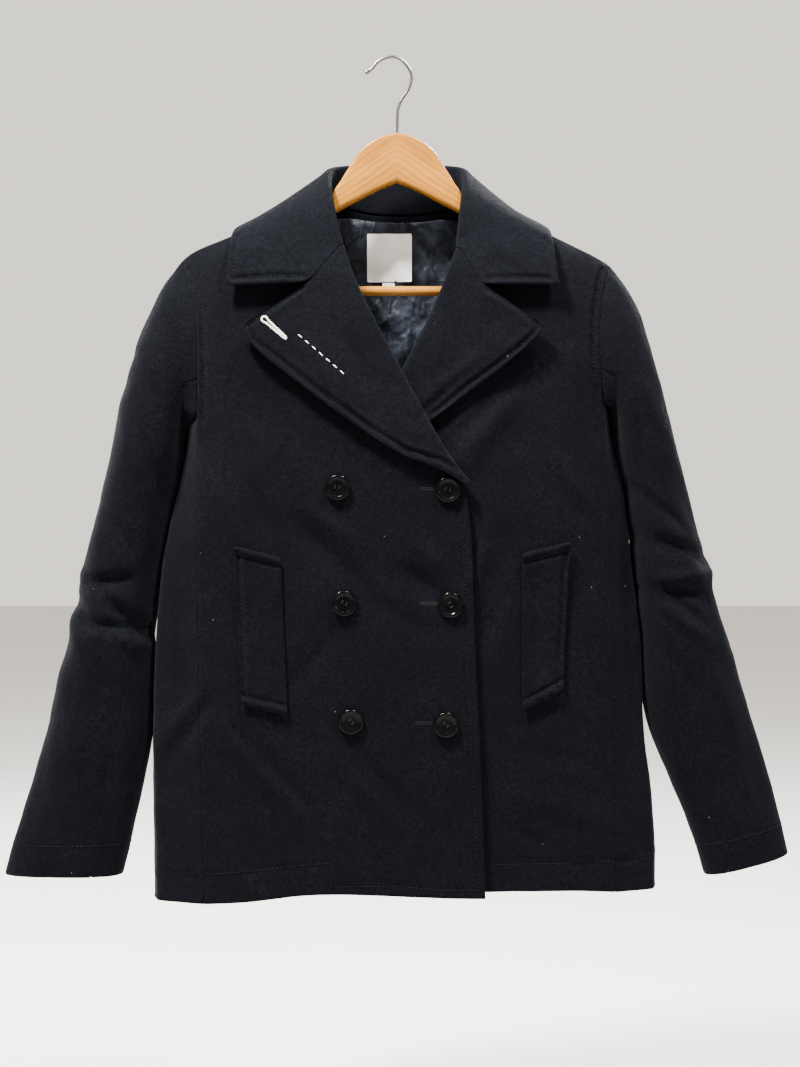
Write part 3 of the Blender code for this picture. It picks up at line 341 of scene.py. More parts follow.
# Middle lines of the sleeves, from the armhole to the cuff
SLEEVE_AXES = {
    "left": [(-204, -280), (-214, -300), (-226, -330), (-240, -372), (-252, -436), (-265, -498), (-275, -560),
             (-286, -624), (-298, -700), (-319, -781)],
    "right": [(204, -276), (214, -296), (226, -326), (238, -372), (252, -430), (268, -500), (281, -562),
              (290, -615), (308, -694), (334, -772)],
}
# Rings of stitches above the cuffs: a middle, and the way across the sleeve
CUFF_RINGS = {"left": ((-313.2, -751.5), (-1.0, -0.008)), "right": ((324.6, -743.3), (0.967, 0.254))}

# Pocket welts: their upper and lower folds, each from one (x, z) to another
WELTS = {
    "pocket_welt_left": [((-150.5, -467), (-107, -478)), ((-144, -615), (-100.7, -624.5))],
    "pocket_welt_right": [((160.5, -463), (116, -474)), ((154, -601), (116, -622))],
}
WELT_STITCHES = [
    Stitches("pocket_welt_left", FRONT, [(-146.5, -474), (-140.8, -607)]),
    Stitches("pocket_welt_right", FRONT, [(156.2, -470), (150.3, -598)]),
]

# Half of the wood's outline, from its top middle round the shoulder's end to its lower middle
WOOD_THICKNESS, WOOD_ROUNDING = 13.0, 3.0
WOOD_CORNER = 18  # the smooth line starts anew at this point, the notch inside the shoulder's end
WOOD_OUTLINE = [
    (0, -72.5), (11, -74.5), (22, -79), (30, -84.5), (37, -91.5), (44.5, -103), (53, -117), (60, -127.5),
    (66, -137), (80, -147), (120, -168), (176, -195), (187, -202), (190, -209), (188.5, -222), (183, -230),
    (174, -231), (167, -224), (164, -212), (158, -202), (120, -183), (66, -152), (20, -127.5), (0, -119),
]
HOOK_PATH = [
    (-30.7, -14.5), (-24.5, -10.5), (-20, -4.8), (-13, -0.2), (-3, 1.6), (5.2, -2.2), (11.5, -10),
    (14, -19.7), (10.9, -29.8), (4.0, -40.5), (0.9, -49), (0.2, -58), (0, -71.9),
]
WIRE_RADIUS, TIP_SWELL = 1.65, 0.28
BAR_RADIUS, BAR_HALF_LENGTH, BAR_HEIGHT = 4.6, 163.0, -223.4

# Flat cut of what shows of each piece, in metres and square metres
Cut = namedtuple("Cut", "width length area held rests_on")
CUTS = {
    "front_left": Cut(0.310, 0.700, 0.160, "hung", ("hanger_wood", "front_right")),
    "front_right": Cut(0.300, 0.690, 0.162, "hung", ("hanger_wood",)),
    "back": Cut(0.430, 0.700, 0.272, "hung", ("hanger_wood",)),
    "side_left": Cut(0.135, 0.480, 0.058, "hung", ("front_left", "back")),
    "side_right": Cut(0.125, 0.480, 0.050, "hung", ("front_right", "back")),
    "sleeve_upper_left": Cut(0.200, 0.620, 0.104, "hung", ("front_left", "back")),
    "sleeve_upper_right": Cut(0.190, 0.610, 0.096, "hung", ("front_right", "back")),
    "sleeve_under_left": Cut(0.110, 0.490, 0.042, "hung", ("sleeve_upper_left",)),
    "sleeve_under_right": Cut(0.110, 0.490, 0.042, "hung", ("sleeve_upper_right",)),
    "lapel_left": Cut(0.160, 0.240, 0.0205, "folded", ("front_left",)),
    "lapel_right": Cut(0.150, 0.190, 0.0138, "folded", ("front_right",)),
    "collar": Cut(0.450, 0.130, 0.0525, "folded", ("back", "front_left", "front_right")),
    "pocket_welt_left": Cut(0.070, 0.180, 0.0078, "laid", ("front_left",)),
    "pocket_welt_right": Cut(0.070, 0.180, 0.0078, "laid", ("front_right",)),
    "lining": Cut(0.200, 0.300, 0.060, "hung", ("back", "hanger_wood")),
    "neck_label": Cut(0.048, 0.052, 0.0024, "laid", ("lining",)),
}

FLOOR_HEIGHT, FLOOR_REACH = -1.12, 12
ROOM_COLOUR, ROOM_STRENGTH = (0.89, 0.835, 0.765, 1), 1.6
Lamp = namedtuple("Lamp", "name place target size power colour")
WHITE = (1, 1, 1)
LAMPS = [
    Lamp("key", (-0.7, -0.72, 1.25), (0, 0, -0.45), 0.3, 330, (1.0, 0.98, 0.95)),
    Lamp("top", (0.6, -0.6, 1.35), (0, 0, -0.4), 0.3, 120, WHITE),
    Lamp("side", (1.9, -1.0, 0.2), (0, 0, -0.45), 0.8, 14, (0.94, 0.97, 1.0)),
    Lamp("behind", (0.8, 1.25, 1.1), (0, 0, -0.5), 0.35, 140, WHITE),
    Lamp("behind_low", (-1.7, 1.5, 0.2), (0, 0, -0.5), 1.2, 90, WHITE),
]


# Small helpers


def smoothstep(start, end, value):
    t = np.clip((value - start) / (end - start), 0.0, 1.0)
    return t * t * (3 - 2 * t)


def dense_line(points, steps=8):
    """Many points on a smooth line through the given ones."""
    points = [Vector(point) for point in points]
    ends = [2 * points[0] - points[1]] + points + [2 * points[-1] - points[-2]]
    line = []
    for a, b, c, d in zip(ends, ends[1:], ends[2:], ends[3:]):
        for k in range(steps):
            t = k / steps
            bend = (2 * a - 5 * b + 4 * c - d) * t * t + (3 * b - a - 3 * c + d) * t ** 3
            line.append(0.5 * (2 * b + (c - a) * t + bend))
    return line + [points[-1]]


def spots_along(line, step, shift=0.0):
    """Even spots about a step apart: the point that follows each, and how near to it the spot is."""
    run = [0.0]
    for a, b in zip(line, line[1:]):
        run.append(run[-1] + (b - a).length)
    count = max(int(run[-1] / step), 1)
    for k in range(count if shift else count + 1):
        goal = run[-1] * (k + shift) / count
        j = min(max(bisect.bisect_left(run, goal), 1), len(run) - 1)
        yield j, min((goal - run[j - 1]) / max(run[j] - run[j - 1], 1e-9), 1.0)


def even_steps(line, step):
    return [line[j - 1].lerp(line[j], t) for j, t in spots_along(line, step)]


def points_of(data, kind="co"):
    raw = np.empty(len(data.vertices) * 3)
    data.vertices.foreach_get(kind, raw)
    return raw.reshape(-1, 3)


def move_points(data, places):
    """Puts a mesh's points at these places, which are in millimetres."""
    data.vertices.foreach_set("co", (places * MM).ravel())
    data.update()


def mesh_of(bm, name):
    data = bpy.data.meshes.new(name)
    bm.to_mesh(data)
    bm.free()
    return data


def linked(name, data):
    made = bpy.data.objects.new(name, data)
    SCENE.collection.objects.link(made)
    return made


def add_piece(name, data, finish, slot, replaces=()):
    """Links a finished mesh as a piece of the coat."""
    data.materials.clear()
    data.materials.append(finish)
    piece = linked(name, data)
    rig.ride(piece, "root")
    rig.slot(piece, slot)
    if replaces:
        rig.replaces(piece, *replaces)
    return piece


def mesh_from(bm, name, sharp=40):
    """A mesh in metres from a bmesh in millimetres."""
    bmesh.ops.scale(bm, vec=(MM, MM, MM), verts=bm.verts)
    data = mesh_of(bm, name)
    data.shade_smooth()
    data.set_sharp_from_angle(angle=math.radians(sharp))
    return data


def applied(data, kind, **settings):
    """The mesh with one modifier applied."""
    holder = linked("holder", data)
    modifier = holder.modifiers.new(kind.lower(), kind)
    for key, value in settings.items():
        setattr(modifier, key, value)
    made = bpy.data.meshes.new_from_object(holder.evaluated_get(bpy.context.evaluated_depsgraph_get()))
    bpy.data.objects.remove(holder)
    return made


# The hang of the cloth

FOLD_DEPTH, FOLD_WIDTH = 1.9, 0.78  # the folds are this much deeper and narrower than their tables say
SEAM_SPREAD = 0.45  # panels swell this far at their rims, so that they meet at the seams
RIM_ANGLE, BEND_ANGLE = 1.0, 0.5  # edges sharper than these are rounded, and held by the subdivision
RIM_ROUNDING = 0.0007
# Soft unevenness of the cloth: height, grain along x, y and z, and a seed
BODY_DRIFT = [(2.3, (52, 70, 120), 3.1), (0.7, (20, 40, 34), 7.7), (0.22, (7, 7, 8), 1.3)]
SLEEVE_DRIFT = [(1.3, (34, 40, 60), 5.3), (0.6, (15, 22, 22), 2.9), (0.22, (7, 7, 8), 1.3)]
# The sleeves lean onto the sides, and more at some heights: height, half length, lift left and right
SIDE_TOUCH = 2.3
SIDE_TOUCHES = [(-500, 60, 0.0, 2.3), (-612, 45, 3.0, 1.4), (-376, 17, 2.3, 2.3)]


def bell(value, middle, reach):
    """1 at the middle, falling softly to nothing on both sides."""
    return np.exp(-(((value - middle) / reach) ** 2))


def crease_lift(x, z, creases):
    """How far a table of creases lifts the cloth, at each x and z."""
    lift = np.zeros_like(x)
    for crease in (Crease(*row) for row in creases):
        along = np.array((crease.x1 - crease.x0, crease.z1 - crease.z0))
        length = np.hypot(*along)
        along = along / length
        dx, dz = x - crease.x0, z - crease.z0
        run = dx * along[0] + dz * along[1]
        t = np.clip(run / length, 0, 1)
        across = dz * along[0] - dx * along[1]
        upper = (across > 0) == (along[0] > 0)
        width = 2 * FOLD_WIDTH * crease.width * np.where(upper, crease.slope, 1 - crease.slope)
        past = (run - t * length) / crease.width
        away = (across / width) ** 2 + past ** 2
        lift += crease.height * np.exp(-away) * (0.3 + 0.7 * np.sin(np.pi * (0.12 + 0.76 * t)))
    return lift * FOLD_DEPTH


def drift(places, sizes, seed):
    """Soft noise at each place, with its own grain along x, y and z."""
    scaled = places / np.array(sizes) + seed
    return np.array([noise.noise(place) for place in scaled.tolist()])


def drifts(places, rows):
    return sum(height * drift(places, sizes, seed) for height, sizes, seed in rows)


def hang_lift(places):
    """How far the coat's body cloth stands out from its smooth form."""
    x, y, z = places.T
    reach = np.abs(x)
    lift = crease_lift(x, z, BODY_CREASES) * smoothstep(8, -18, y)
    lift += crease_lift(x, z, BACK_CREASES) * smoothstep(-8, 18, y)
    lift += drifts(places, BODY_DRIFT)
    hem_wave = 1.3 * np.sin(x / 31 + 1.5 * np.sin(x / 74))
    lift += hem_wave * smoothstep(-700, -790, z) * smoothstep(60, 90, reach)
    by_armhole = smoothstep(162, 183, reach) * smoothstep(-380, -348, z)
    below_shoulder = smoothstep(-142, -205, z)
    return lift * (1 - by_armhole) * below_shoulder


def body_way(places):
    """Straight out of the coat's body at each place."""
    x, y, _ = places.T
    out_x = np.sign(x) * np.abs(x / 226) ** 2.8 / 226
    out_y = np.sign(y) * np.abs(y / 48) ** 2.8 / 48
    size = np.maximum(np.hypot(out_x, out_y), 1e-9)
    return np.stack((out_x / size, out_y / size, np.zeros_like(x)), axis=1)


def sleeve_shift(places, side):
    """The way out of a sleeve at each place, and how far its cloth moves that way."""
    x, y, z = places.T
    axis = np.array([(p.x, p.y) for p in dense_line(SLEEVE_AXES[side])])
    nearest = np.argmin((x[:, None] - axis[:, 0]) ** 2 + (z[:, None] - axis[:, 1]) ** 2, axis=1)
    way = np.stack((x - axis[nearest, 0], y * 1.3, z - axis[nearest, 1]), axis=1)
    way /= np.maximum(np.linalg.norm(way, axis=1, keepdims=True), 1e-9)
    lift = crease_lift(x, z, SLEEVE_CREASES) * smoothstep(14, -12, y)
    lift += crease_lift(x, z, SLEEVE_BACK_CREASES) * smoothstep(-14, 12, y)
    lift += drifts(places, SLEEVE_DRIFT)
    past_armhole = smoothstep(204, 226, np.abs(x))
    lift *= past_armhole
    inner = np.clip(way[:, 0] if side == "left" else -way[:, 0], 0, 1) ** 2
    lift += SIDE_TOUCH * inner * smoothstep(-343, -358, z) * smoothstep(-690, -640, z)
    for height, reach, left, right in SIDE_TOUCHES:
        lift += (left if side == "left" else right) * inner * bell(z, height, reach)
    return way, lift


def stitch_dip(places, outer, piece):
    """The cloth sinks along a row of stitches and stands a little proud beside it."""
    x, y, z = places.T
    far = 99.0
    nearest = np.full(len(x), far)
    for row in TOPSTITCH + WELT_STITCHES:
        if row.on != piece:
            continue
        for a, b in zip(row.line, row.line[1:]):
            along = np.array((b[0] - a[0], b[1] - a[1]))
            t = np.clip(((x - a[0]) * along[0] + (z - a[1]) * along[1]) / (along @ along), 0, 1)
            away = np.hypot(x - a[0] - along[0] * t, z - a[1] - along[1] * t)
            nearest = np.minimum(nearest, np.where(y * row.face > 0, away, far))
    dip, ridge = -1.5 * bell(nearest, 0, 2.2), 0.55 * bell(nearest, 4.6, 2.2)
    pucker = 0.25 * np.sin((x + z) / 2.1) * bell(nearest, 3, 2.5)
    return (dip + ridge + pucker) * outer


def welt_lift(places, piece):
    """A welt's ends are folded over: a soft ridge with a sharp dip under it."""
    x, _, z = places.T
    lift = np.zeros_like(x)
    for start, end in WELTS[piece]:
        along = np.array((end[0] - start[0], end[1] - start[1]))
        along = along / np.hypot(*along)
        away = np.abs((z - start[1]) * along[0] - (x - start[0]) * along[1])
        lift += 1.3 * bell(away, 4, 3.2) - 1.5 * bell(away, 9, 1.7)
    return lift


def creased(data, piece):
    """Moves a subdivided shell's points by the hang of its cloth."""
    places, normals = points_of(data) / MM, points_of(data, "normal")
    x, y, z = places.T
    if piece.startswith("sleeve"):
        way, lift = sleeve_shift(places, piece.split("_")[-1])
    else:
        way = body_way(places)
        outer = smoothstep(0.1, 0.6, np.einsum("ij,ij->i", way, normals))
        lift = hang_lift(places)
        if piece in WELTS:
            lift = lift + welt_lift(places, piece)
        if piece.startswith(LEAVES):
            lift = lift + crease_lift(x, z, LEAF_CREASES) * smoothstep(-20, -36, y)
            lift = lift + 0.5 * drift(places, (24, 24, 24), 9.1) * smoothstep(22, 38, np.abs(y))
        lift = lift + stitch_dip(places, outer, piece)
    moved = way * lift[:, None]
    if piece.startswith(PANELS):
        rim = smoothstep(0.3, 0.8, 1 - np.abs(np.einsum("ij,ij->i", way, normals)))
        moved += normals * (SEAM_SPREAD * rim)[:, None]
    move_points(data, places + moved)


def rounded_shell(node_name, levels):
    """A packed shell with quads again, its rims rounded and its cells subdivided."""
    bm = bmesh.new()
    bm.from_mesh(NODES[node_name].data)
    bmesh.ops.remove_doubles(bm, verts=bm.verts, dist=0.00002)
    bmesh.ops.join_triangles(bm, faces=bm.faces, angle_face_threshold=0.6, angle_shape_threshold=math.pi)
    rims = [edge for edge in bm.edges if edge.calc_face_angle(0) > RIM_ANGLE]
    bmesh.ops.bevel(bm, geom=rims, offset=RIM_ROUNDING, offset_type="OFFSET", segments=1, profile=0.5,
                    affect="EDGES", material=-1, clamp_overlap=True)
    if node_name.startswith(PANELS):
        held = bm.verts.layers.float.new("crease_vert")
        for vert in bm.verts:
            if sum(edge.calc_face_angle(0) > BEND_ANGLE for edge in vert.link_edges) > 2:
                vert[held] = 1.0
        kept = bm.edges.layers.float.new("crease_edge")
        for edge in bm.edges:
            if edge.calc_face_angle(0) > BEND_ANGLE:
                edge[kept] = 0.9
    data = mesh_of(bm, node_name + "_cloth")
    made = applied(data, "SUBSURF", levels=levels, render_levels=levels)
    made.shade_smooth()
    return made


# Materials

# Colours of the cloth's nap and of the dark between it, its lint, and the other finishes
NAP_NAVY, DEEP_NAVY, LINT = (0.0027, 0.0029, 0.0043, 1), (0.0003, 0.0004, 0.0008, 1), (0.24, 0.24, 0.235, 1)
SHEEN_TINT = (0.5, 0.54, 0.62, 1)
SATIN_LIGHT, SATIN_DARK = (0.014, 0.018, 0.026, 1), (0.008, 0.010, 0.015, 1)
# painted shade: the near-black that the satin's colour takes along its creases
SATIN_CREASE_SHADE = (0.002, 0.0025, 0.004, 1)
LABEL_LIGHT, LABEL_DARK = (0.92, 0.91, 0.88, 1), (0.84, 0.83, 0.80, 1)
RESIN_DARK, RESIN_LIGHT, DUST = (0.0003, 0.0003, 0.0004, 1), (0.001, 0.001, 0.0011, 1), (0.2, 0.2, 0.2, 1)
WOOD_DARK, WOOD_LIGHT, WOOD_RING = (0.19, 0.072, 0.0045, 1), (0.30, 0.128, 0.010, 1), (0.13, 0.040, 0.0025, 1)
WOOD_PORE, WOOD_JOINT = (0.10, 0.030, 0.002, 1), (0.16, 0.07, 0.03, 1)
STEEL_LIGHT, STEEL_DARK = (0.13, 0.128, 0.122, 1), (0.07, 0.068, 0.064, 1)
FLOOR_DARK, FLOOR_LIGHT = (0.60, 0.59, 0.57, 1), (0.64, 0.63, 0.61, 1)
# Threads: the colour of the strand and of the dark between strands
NAVY_THREAD = (0.0062, 0.0068, 0.0088, 1), (0.0015, 0.0018, 0.0026, 1)
PALE_THREAD = (0.74, 0.71, 0.64, 1), (0.50, 0.47, 0.41, 1)
GREY_THREAD = (0.45, 0.46, 0.48, 1), (0.25, 0.26, 0.28, 1)
GRAIN_TILT = -0.6  # the grain of the shaped wood falls away from its middle joint


def group(name, inputs, outputs):
    """An empty node group with its sockets, each a name and a type."""
    tree = bpy.data.node_groups.new(name, "ShaderNodeTree")
    for in_out, sockets in (("INPUT", inputs), ("OUTPUT", outputs)):
        for label, kind in sockets:
            tree.interface.new_socket(label, in_out=in_out, socket_type="NodeSocket" + kind)
    return tree, tree.nodes.new("NodeGroupInput").outputs, tree.nodes.new("NodeGroupOutput")


def wired(tree, made, wires):
    """Fills sockets of a node, each with another node's output or with a value."""
    for target, source in wires:
        if isinstance(source, bpy.types.NodeSocket):
            tree.links.new(source, made.inputs[target])
        else:
            made.inputs[target].default_value = source
    return made


def node(tree, kind, wires=(), **settings):
    made = tree.nodes.new("ShaderNode" + kind)
    for key, value in settings.items():
        setattr(made, key, value)
    return wired(tree, made, wires)


def mixed(tree, factor, first, second, blend="MIX"):
    wires = [(0, factor), (6, first), (7, second)]
    return node(tree, "Mix", wires, data_type="RGBA", blend_type=blend).outputs[2]


def ramped(tree, source, low, high, to_low=0.0, to_high=1.0):
    return node(tree, "MapRange", [("Value", source), ("From Min", low), ("From Max", high),
                                   ("To Min", to_low), ("To Max", to_high)]).outputs["Result"]


def math_of(tree, operation, first, second=0.0):
    return node(tree, "Math", [(0, first), (1, second)], operation=operation).outputs[0]


def times(tree, first, second):
    return math_of(tree, "MULTIPLY", first, second)


def mapped(tree, place, scale=(1, 1, 1), turn=0.0):
    """Coordinates scaled, and turned about the way from front to back."""
    return node(tree, "Mapping", [("Vector", place), ("Scale", scale), ("Rotation", (0, turn, 0))]).outputs[0]


def noise_of(tree, place, scale, detail=2.0, rough=0.5, bend=0.0, output="Fac"):
    wires = [("Vector", place), ("Scale", scale), ("Detail", detail), ("Roughness", rough),
             ("Distortion", bend)]
    return node(tree, "TexNoise", wires).outputs[output]


def cells_of(tree, place, scale, feature="F1"):
    wires = [("Vector", place), ("Scale", scale)]
    return node(tree, "TexVoronoi", wires, feature=feature).outputs["Distance"]


def felt_group():
    """Felted wool: matted fibres, soft cloudy nap, and a few pale specks and hairs of lint."""
    tree, given, out = group(
        "felted nap",
        [("Vector", "Vector"), ("Colour", "Color"), ("Nap Colour", "Color"), ("Lint", "Float")],
        [("Colour", "Color"), ("Roughness", "Float"), ("Height", "Float")],
    )
    place = given["Vector"]
    fibre = noise_of(tree, place, 1500.0, 3.0, 0.65, 1.2)
    clump = noise_of(tree, place, 330.0, 4.0, 0.6, 0.6)
    cloud = noise_of(tree, place, 26.0, 3.0, 0.55)
    nap = times(tree, ramped(tree, clump, 0.39, 0.66), ramped(tree, cloud, 0.3, 0.7, 0.35, 1.0))
    base = mixed(tree, nap, given["Colour"], given["Nap Colour"])
    base = mixed(tree, ramped(tree, fibre, 0.4, 0.7, 0.0, 0.8), base, given["Nap Colour"])
    specks = node(tree, "TexVoronoi", [("Vector", place), ("Scale", 88.0)])
    chosen = node(tree, "SeparateColor", [(0, specks.outputs["Color"])]).outputs[0]
    few = ramped(tree, chosen, 0.90, 0.94)
    dots = times(tree, ramped(tree, specks.outputs["Distance"], 0.045, 0.02), few)
    strands = noise_of(tree, place, 95.0, 1.0, bend=2.5)
    off_strand = math_of(tree, "ABSOLUTE", math_of(tree, "SUBTRACT", strands, 0.5))
    hair = math_of(tree, "SUBTRACT", 1.0, ramped(tree, off_strand, 0.0, 0.004))
    hair = times(tree, hair, ramped(tree, noise_of(tree, place, 34.0, 1.0), 0.74, 0.78))
    lint = times(tree, math_of(tree, "MAXIMUM", dots, times(tree, hair, 0.2)), given["Lint"])
    height = math_of(tree, "ADD", times(tree, clump, 0.7), times(tree, fibre, 0.45))
    wired(tree, out, [("Colour", mixed(tree, lint, base, LINT)), ("Height", height),
                      ("Roughness", ramped(tree, fibre, 0.3, 0.7, 0.82, 0.98))])
    return tree


def weave_group():
    """Fine threads over and under each other, across x and z."""
    tree, given, out = group(
        "fine weave",
        [("Vector", "Vector"), ("Colour", "Color"), ("Dark Colour", "Color"), ("Threads", "Float")],
        [("Colour", "Color"), ("Height", "Float")],
    )
    place = given["Vector"]
    wires = [("Vector", place), ("Scale", given["Threads"]), ("Distortion", 0.4), ("Detail", 1.0)]
    woven = times(tree, *(node(tree, "TexWave", wires, wave_type="BANDS", bands_direction=way).outputs["Fac"]
                          for way in ("X", "Z")))
    uneven = noise_of(tree, place, 60.0, 3.0)
    shade = times(tree, ramped(tree, woven, 0.0, 0.6), ramped(tree, uneven, 0.3, 0.7, 0.7, 1.0))
    colour = mixed(tree, shade, given["Dark Colour"], given["Colour"])
    wired(tree, out, [("Colour", colour), ("Height", woven)])
    return tree


def wear_group():
    """Scratches and dust for hard, polished things."""
    tree, given, out = group(
        "handling marks",
        [("Vector", "Vector"), ("Scale", "Float"), ("Smooth", "Float"), ("Rough", "Float")],
        [("Roughness", "Float"), ("Height", "Float"), ("Dust", "Float")],
    )
    place = given["Vector"]
    marks = noise_of(tree, mapped(tree, place, (1.0, 1.0, 6.0)), given["Scale"], 4.0, 0.7)
    wired(tree, out, [("Roughness", ramped(tree, marks, 0.35, 0.7, given["Smooth"], given["Rough"])),
                      ("Height", marks), ("Dust", ramped(tree, noise_of(tree, place, 900.0), 0.62, 0.74))])
    return tree


def material(name, roughness=0.5, **sockets):
    """A Principled material with constants on its own sockets; returns it, its tree and its coordinates."""
    made = bpy.data.materials.new(name)
    made.use_nodes = True
    tree = made.node_tree
    shader = tree.nodes["Principled BSDF"]
    shader.inputs["Roughness"].default_value = roughness
    for key, value in sockets.items():
        shader.inputs[key.replace("_", " ")].default_value = value
    return made, tree, tree.nodes.new("ShaderNodeTexCoord").outputs["Object"]


def finished(tree, colour, roughness=None, height=None, strength=0.0, depth=0.0):
    """Wires colour, roughness and bump to the tree's shader; depth is in metres."""
    wires = [("Base Color", colour)]
    if roughness is not None:
        wires.append(("Roughness", roughness))
    if height is not None:
        bump = node(tree, "Bump", [("Height", height), ("Strength", strength), ("Distance", depth)])
        wires.append(("Normal", bump.outputs["Normal"]))
    wired(tree, tree.nodes["Principled BSDF"], wires)


def wool(name, felt, lint=0.6):
    made, tree, place = material(
        name, Specular_IOR_Level=0.02, Sheen_Weight=0.02, Sheen_Roughness=0.5, Sheen_Tint=SHEEN_TINT)
    wires = [("Vector", place), ("Colour", DEEP_NAVY), ("Nap Colour", NAP_NAVY), ("Lint", lint)]
    fuzz = node(tree, "Group", wires, node_tree=felt).outputs
    finished(tree, fuzz["Colour"], fuzz["Roughness"], fuzz["Height"], 0.7, 0.0011)
    return made


def woven_cloth(tree, weave, place, light, dark, threads):
    wires = [("Vector", place), ("Colour", light), ("Dark Colour", dark), ("Threads", threads)]
    return node(tree, "Group", wires, node_tree=weave).outputs


def satin(name, weave):
    """Crumpled satin: flat facets that meet in crisp creases, darkened along them with painted shade, over a fine
    weave.
    """
    made, tree, place = material(name, 0.46, Specular_IOR_Level=0.09)
    threads = woven_cloth(tree, weave, place, SATIN_LIGHT, SATIN_DARK, 1300.0)
    pushed = mixed(tree, 0.035, place, noise_of(tree, place, 45.0, output="Color"), "ADD")
    slanted = mapped(tree, pushed, (46.0, 16.0, 24.0), 0.75)
    small = times(tree, cells_of(tree, slanted, 2.6), 0.3)
    facets = math_of(tree, "ADD", cells_of(tree, slanted, 1.0), small)
    # painted shade: near the facets' edges, the creases, the colour darkens towards the crease colour
    dark = ramped(tree, cells_of(tree, slanted, 1.0, "DISTANCE_TO_EDGE"), 0.0, 0.09, 0.8, 0.0)
    height = math_of(tree, "ADD", facets, times(tree, threads["Height"], 0.01))
    finished(tree, mixed(tree, dark, threads["Colour"], SATIN_CREASE_SHADE), None, height, 0.6, 0.006)
    return made


def label_cloth(name, weave):
    made, tree, place = material(name, 0.55, Specular_IOR_Level=0.4, Sheen_Weight=0.15)
    threads = woven_cloth(tree, weave, place, LABEL_LIGHT, LABEL_DARK, 700.0)
    finished(tree, threads["Colour"], None, threads["Height"], 0.4, 0.0004)
    return made


def thread(name, colours, shine=0.3):
    made, tree, place = material(name, 0.6, Specular_IOR_Level=shine)
    colour, dark = colours
    twist = noise_of(tree, place, 2400.0)
    finished(tree, mixed(tree, ramped(tree, twist, 0.35, 0.65), dark, colour), None, twist, 0.4, 0.0003)
    return made


def handled(tree, wear, place, scale, smooth, rough):
    wires = [("Vector", place), ("Scale", scale), ("Smooth", smooth), ("Rough", rough)]
    return node(tree, "Group", wires, node_tree=wear).outputs


def button_resin(name, wear):
    made, tree, place = material(name, 0.2, Specular_IOR_Level=0.06)
    marks = handled(tree, wear, place, 260.0, 0.1, 0.26)
    cloud = noise_of(tree, place, 120.0, 3.0)
    base = mixed(tree, ramped(tree, cloud, 0.4, 0.75), RESIN_DARK, RESIN_LIGHT)
    base = mixed(tree, times(tree, marks["Dust"], 0.008), base, DUST)
    finished(tree, base, marks["Roughness"], marks["Height"], 0.12, 0.0003)
    return made


def honey_wood(name, wear, joint=True):
    """Lacquered pale wood with long grain and small pores, and a glued joint where two halves meet."""
    made, tree, place = material(name, 0.4, Coat_Weight=0.05, Coat_Roughness=0.25, Specular_IOR_Level=0.14)
    parts = node(tree, "SeparateXYZ", [(0, place)]).outputs
    aside = math_of(tree, "ABSOLUTE", parts["X"])
    mirrored = node(tree, "CombineXYZ", [(0, aside), (1, parts["Y"]), (2, parts["Z"])]).outputs[0]
    turned = mapped(tree, mirrored, turn=GRAIN_TILT if joint else 0.0)
    grain_place = mapped(tree, turned, (9.0, 30.0, 34.0))
    sway = noise_of(tree, grain_place, 1.1, 4.0, bend=0.5)
    wires = [("Vector", grain_place), ("Scale", 1.7), ("Distortion", 5.0), ("Detail", 3.0),
             ("Detail Scale", 1.2)]
    rings = node(tree, "TexWave", wires, wave_type="BANDS", bands_direction="Z").outputs["Fac"]
    pores = noise_of(tree, mapped(tree, turned, (60.0, 500.0, 900.0)), 1.0, 3.0)
    base = mixed(tree, ramped(tree, sway, 0.3, 0.7), WOOD_DARK, WOOD_LIGHT)
    base = mixed(tree, ramped(tree, rings, 0.35, 1.0, 0.0, 0.4), base, WOOD_RING)
    base = mixed(tree, ramped(tree, pores, 0.58, 0.72, 0.0, 0.45), base, WOOD_PORE)
    if joint:
        base = mixed(tree, ramped(tree, aside, 0.0002, 0.0006, 0.75, 0.0), base, WOOD_JOINT)
    marks = handled(tree, wear, place, 120.0, 0.26, 0.45)
    finished(tree, base, marks["Roughness"], math_of(tree, "ADD", pores, rings), 0.12, 0.0004)
    return made


def wire_steel(name, wear):
    made, tree, place = material(name, 0.3, Metallic=1.0)
    marks = handled(tree, wear, place, 90.0, 0.24, 0.34)
    finished(tree, mixed(tree, marks["Dust"], STEEL_LIGHT, STEEL_DARK), marks["Roughness"])
    return made


def pale_floor(name):
    made, tree, place = material(name, 0.9, Specular_IOR_Level=0.1)
    finished(tree, mixed(tree, noise_of(tree, place, 2.0, 3.0), FLOOR_DARK, FLOOR_LIGHT))
    return made


# Seams, stitches and small sewn things

def tree_of(*data):
    """One search tree over meshes, in millimetres."""
    bm = bmesh.new()
    for mesh in data:
        bm.from_mesh(mesh)
    bmesh.ops.scale(bm, vec=(1 / MM, 1 / MM, 1 / MM), verts=bm.verts)
    found = BVHTree.FromBMesh(bm)
    bm.free()
    return found


def landed(surface, x, z, face):
    """Where a straight look from the front or back meets a piece, and the way out there."""
    place, normal, _, _ = surface.ray_cast(Vector((x, face * 300, z)), Vector((0, -face, 0)))
    return (place, normal) if place else None


def lay_stitches(bm, spots, length=STITCH_LENGTH, step=STITCH_STEP, radius=THREAD_RADIUS, seed=1):
    """Small thread lumps along spots on a surface; each spot is a place and the way out there."""
    chance = random.Random(seed)
    line = [place for place, _ in spots]
    for j, t in spots_along(line, step, 0.5):
        out = spots[j][1]
        along = (line[j] - line[j - 1]).normalized()
        aside = out.cross(along).normalized()
        out = along.cross(aside)
        turn = Matrix((along, aside, out)).transposed().to_4x4()
        wobble = Matrix.Rotation(chance.uniform(-0.09, 0.09), 4, "Z")
        size = Matrix.Diagonal((length / 2 * chance.uniform(0.92, 1.04), radius, radius, 1))
        spot = Matrix.Translation(line[j - 1].lerp(line[j], t) + out * radius * 0.25)
        bmesh.ops.create_uvsphere(bm, u_segments=5, v_segments=4, radius=1,
                                  matrix=spot @ turn @ wobble @ size @ Matrix.Rotation(math.pi / 2, 4, "Y"))


